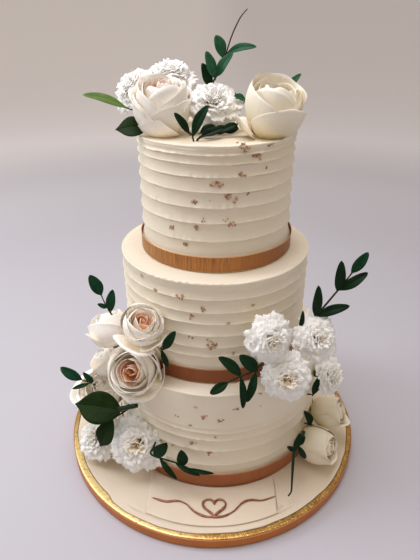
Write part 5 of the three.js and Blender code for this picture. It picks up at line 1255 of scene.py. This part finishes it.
ob = Build()
g = rng(515)
low = 15.0
m = 120
a = np.arange(m) * TAU / m
hx = 16 * np.sin(a) ** 3
hy = 13 * np.cos(a) - 5 * np.cos(2 * a) - 2 * np.cos(3 * a) - np.cos(4 * a) + 4
heart = np.stack([3.2 + hx * 24 / 32, -145 + hy * 20 / 29, np.full(m, low + 0.8)], -1)
r = 1.22 + 0.18 * np.sin(3 * a + 1) + 0.10 * np.sin(7 * a) + 0.07 * np.sin(13 * a + 2) + g.normal(0, 0.03, m)
v, q, t = sweep(heart, r, 12, squash=0.85, closed=True)
ob.add(v, q)
for side in (-1, 1):
    pts = []
    for s, d in [(-0.015, -0.2), (0.14, -1.0), (0.3, -5.5), (0.45, -12.5), (0.6, -14.0), (0.78, -9.5), (1.0, -8.0)]:
        an, rad = side * s * math.radians(26.5) + math.radians(1.2), 154.4 + d
        pts.append((rad * math.sin(an), -rad * math.cos(an), low + 0.72))
    path = spline(pts, 12)
    k = len(path)
    r = 1.02 + 0.24 * np.sin(np.linspace(0, 11, k) + side) + 0.06 * np.sin(np.linspace(0, 37, k)) + g.normal(0, 0.025, k)
    r[-6:] *= np.linspace(1.0, 0.6, 6)
    v, q, t = sweep(path, r, 12, squash=0.85)
    ob.add(v, q, t)
oo = ob.make("piped_heart", M_COPPER)
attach(oo, "root")
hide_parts("plaque_ornament")
# ------------------------------------------------------------------ flecks of gold leaf on the icing
FLECKS = {     # bearing from the tier's axis in degrees, height in mm, size
    "top": [(-72.1, 367.5, "L"), (-62.4, 360.2, "L"), (-53.7, 367.8, "m"), (-53.8, 348.0, "s"), (-72.4, 345.0, "m"), (-89.8, 337.2, "L"), (-80.6, 326.2, "L"), (-67.7, 327.2, "s"),
            (-104.3, 322.1, "m"), (-94.2, 322.9, "t"), (-98.6, 305.2, "s"), (-83.5, 304.5, "s"), (-78.9, 301.2, "m"), (-122.4, 293.4, "m"), (-104.0, 296.6, "m"), (-111.7, 278.1, "m"),
            (-69.1, 366.5, "t"), (-37.1, 362.2, "t")],
    "middle": [(-134.9, 248.1, "b"), (-124.0, 238.7, "s"), (-108.4, 238.1, "m"), (-96.4, 228.0, "m"), (-102.9, 218.6, "m"), (-69.5, 228.5, "s"), (-83.3, 212.9, "b"), (-103.5, 195.0, "s"),
               (-92.0, 187.6, "L"), (-79.7, 177.0, "s")],
    "bottom": [(-100.9, 125.6, "s"), (-109.6, 108.1, "s"), (-96.2, 114.6, "m"), (-89.1, 109.8, "m"), (-103.6, 100.5, "s"), (-90.8, 86.1, "s"), (-102.9, 73.4, "m"), (-94.1, 61.5, "m"),
               (-81.0, 123.4, "m"), (-69.8, 139.4, "s"), (-68.9, 121.8, "t"), (-113.3, 62.4, "b")],
}
gf = rng(777)
for key, zr, k in (("top", (280, 366), 9), ("middle", (168, 250), 9), ("bottom", (45, 138), 9)):      # and a few round the back
    for i in range(k):
        FLECKS[key].append((50 + 15 * i + gf.uniform(-9, 9), gf.uniform(*zr), "msmLsmstm"[i]))


def fleck(b, origin, normal, size, g, bright):
    """Three to six crumpled scraps of leaf that lie over each other."""
    n = np.array(normal) / np.linalg.norm(normal)
    x = np.cross(n, [0, 0, 1.0]); x /= np.linalg.norm(x)
    y = np.cross(n, x)
    for s in range({"L": 12, "m": 6, "s": 3, "t": 1, "b": 5}[size]):
        R = {"L": 1.9, "m": 1.65, "s": 1.3, "t": 0.85, "b": 1.7}[size] * g.uniform(0.65, 1.15)
        spread = {"L": 2.6, "m": 1.5, "s": 0.95, "t": 0, "b": 1.2}[size]
        off = g.normal(0, spread, 2) * [1.15, 0.75]
        m, rings = 9, 2
        a = np.arange(m) * TAU / m + g.uniform(0, TAU)
        ratio = g.uniform(0.5, 1.0)
        edge = g.uniform(0.35, 1.35, m)
        turn = g.uniform(0, math.pi)
        P = np.zeros((rings + 1, m, 3))
        tilt = g.normal(0, 0.45, 2)
        for k in range(rings + 1):
            rr = R * edge * (0.06 + 0.94 * k / rings)
            px, py = rr * np.cos(a), rr * np.sin(a) * ratio
            qx, qy = px * math.cos(turn) - py * math.sin(turn) + off[0], px * math.sin(turn) + py * math.cos(turn) + off[1]
            hz = 0.30 + 0.10 * s * 0.6 + g.normal(0, 0.20, m) * (0.4 + 0.6 * k / rings) + 0.25 * (tilt[0] * np.cos(a) + tilt[1] * np.sin(a)) * k / rings
            P[k] = np.array(origin) + qx[:, None] * x + qy[:, None] * y + np.maximum(hz, -0.2)[:, None] * n
        top, bot = P, P - n * 0.10
        rows = np.concatenate([top, bot[::-1]])
        K = len(rows)
        q = grid_quads(K, m, wrap=True, flip=True)
        verts = np.vstack([rows.reshape(-1, 3), top[0].mean(0), bot[0].mean(0)])
        j = np.arange(m)
        c0 = np.stack([np.full(m, K * m), j, (j + 1) % m], -1)
        c1 = np.stack([np.full(m, K * m + 1), (K - 1) * m + (j + 1) % m, (K - 1) * m + j], -1)
        b.add(verts, q, np.vstack([c0, c1]), tone=(g.uniform(0.3, 0.9) if bright else max(0.0, g.uniform(-0.6, 0.5))))


fb = Build()
gf = rng(778)
for key, spots in FLECKS.items():
    for deg, z, size in spots:
        th = math.radians(deg)
        r, slope = tier_surface(key, th, z)
        cx, cy = TIERS[key]["c"]
        n = (math.cos(th), math.sin(th), slope)
        fleck(fb, (cx + r * math.cos(th), cy + r * math.sin(th), z), n, size, gf, size == "b")
fo = fb.make("gold_leaf_flecks", M_FLECK, smooth=False)
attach(fo, "root")
# ------------------------------------------------------------------ camera, light, floor
def camera():
    pitch, roll, yaw = math.radians(28.29), math.radians(-0.19), math.radians(-0.69)
    fwd = Vector((math.sin(yaw) * math.cos(pitch), math.cos(yaw) * math.cos(pitch), -math.sin(pitch)))
    right = Vector((math.cos(yaw), -math.sin(yaw), 0))
    up = right.cross(fwd)
    r2 = math.cos(roll) * right + math.sin(roll) * up
    u2 = -math.sin(roll) * right + math.cos(roll) * up
    m = Matrix.Identity(4)
    for i in range(3):
        m[i][0], m[i][1], m[i][2] = r2[i], u2[i], -fwd[i]
    m.translation = Vector((4.5, -453.8, 452.8)) * MM
    data = bpy.data.cameras.new("camera")
    data.sensor_width = 36
    data.sensor_fit = "AUTO"
    data.lens = 460.4 * 36 / 560
    data.shift_x = (210 - 211.12) / 560
    data.shift_y = (279.71 - 280) / 560
    data.dof.use_dof = False
    cam = bpy.data.objects.new("camera", data)
    scene.collection.objects.link(cam)
    cam.matrix_world = m
    scene.camera = cam


def area(name, at, aim, size, power, colour=(1, 1, 1)):
    d = bpy.data.lights.new(name, "AREA")
    d.shape = "DISK"
    d.size = size
    d.energy = power
    d.color = colour
    o = bpy.data.objects.new(name, d)
    scene.collection.objects.link(o)
    o.location = at
    o.rotation_euler = (Vector(aim) - Vector(at)).to_track_quat("-Z", "Y").to_euler()
    return o


camera()
area("key", (-1.28, 0.10, 1.05), (0, 0, 0.18), 0.6, 9.0, (0.88, 0.95, 1.0))
area("overhead", (-0.25, -0.02, 1.72), (0, 0, 0.2), 1.0, 16.0, (0.91, 0.895, 1.0))
world = bpy.data.worlds.new("studio")
scene.world = world
world.use_nodes = True
wt = world.node_tree
bg = wt.nodes["Background"]
tc = wt.nodes.new("ShaderNodeTexCoord")
sep = wt.nodes.new("ShaderNodeSeparateXYZ")
wt.links.new(tc.outputs["Generated"], sep.inputs[0])
ramp = wt.nodes.new("ShaderNodeValToRGB")
wt.links.new(sep.outputs["Z"], ramp.inputs[0])
ramp.color_ramp.elements[0].position = 0.0
ramp.color_ramp.elements[0].color = (0.26, 0.24, 0.22, 1)
ramp.color_ramp.elements[1].position = 0.85
ramp.color_ramp.elements[1].color = (1.0, 0.90, 0.755, 1)
wt.links.new(ramp.outputs[0], bg.inputs[0])
bg.inputs[1].default_value = 0.72
scene.cycles.diffuse_bounces = 8      # white petals pass the light on many times
scene.view_settings.view_transform = "Standard"
scene.view_settings.look = "None"

# the floor: flat under and round the cake, and rising very gently far behind it, as a sheet of backdrop paper does
fb = Build()
rr = np.array([0.0001, 0.1, 0.2, 0.3, 0.4, 0.6, 0.8, 1.2, 1.6, 2.4, 3.2, 4.5, 6.5, 9, 12, 16]) * 1000
zz = np.array([0, 0, 0, 0, 0, 0, 0, 0, 0, 0, 0.02, 0.15, 0.55, 1.3, 2.6, 4.6]) * 1000 - 0.05
fth = np.arange(96) * TAU / 96
FV = np.stack([rr[:, None] * np.cos(fth), rr[:, None] * np.sin(fth), np.repeat(zz[:, None], 96, 1)], -1)
fb.add(FV.reshape(-1, 3), grid_quads(len(rr), 96, wrap=True, flip=True))
floor = fb.make("floor", floor_material())
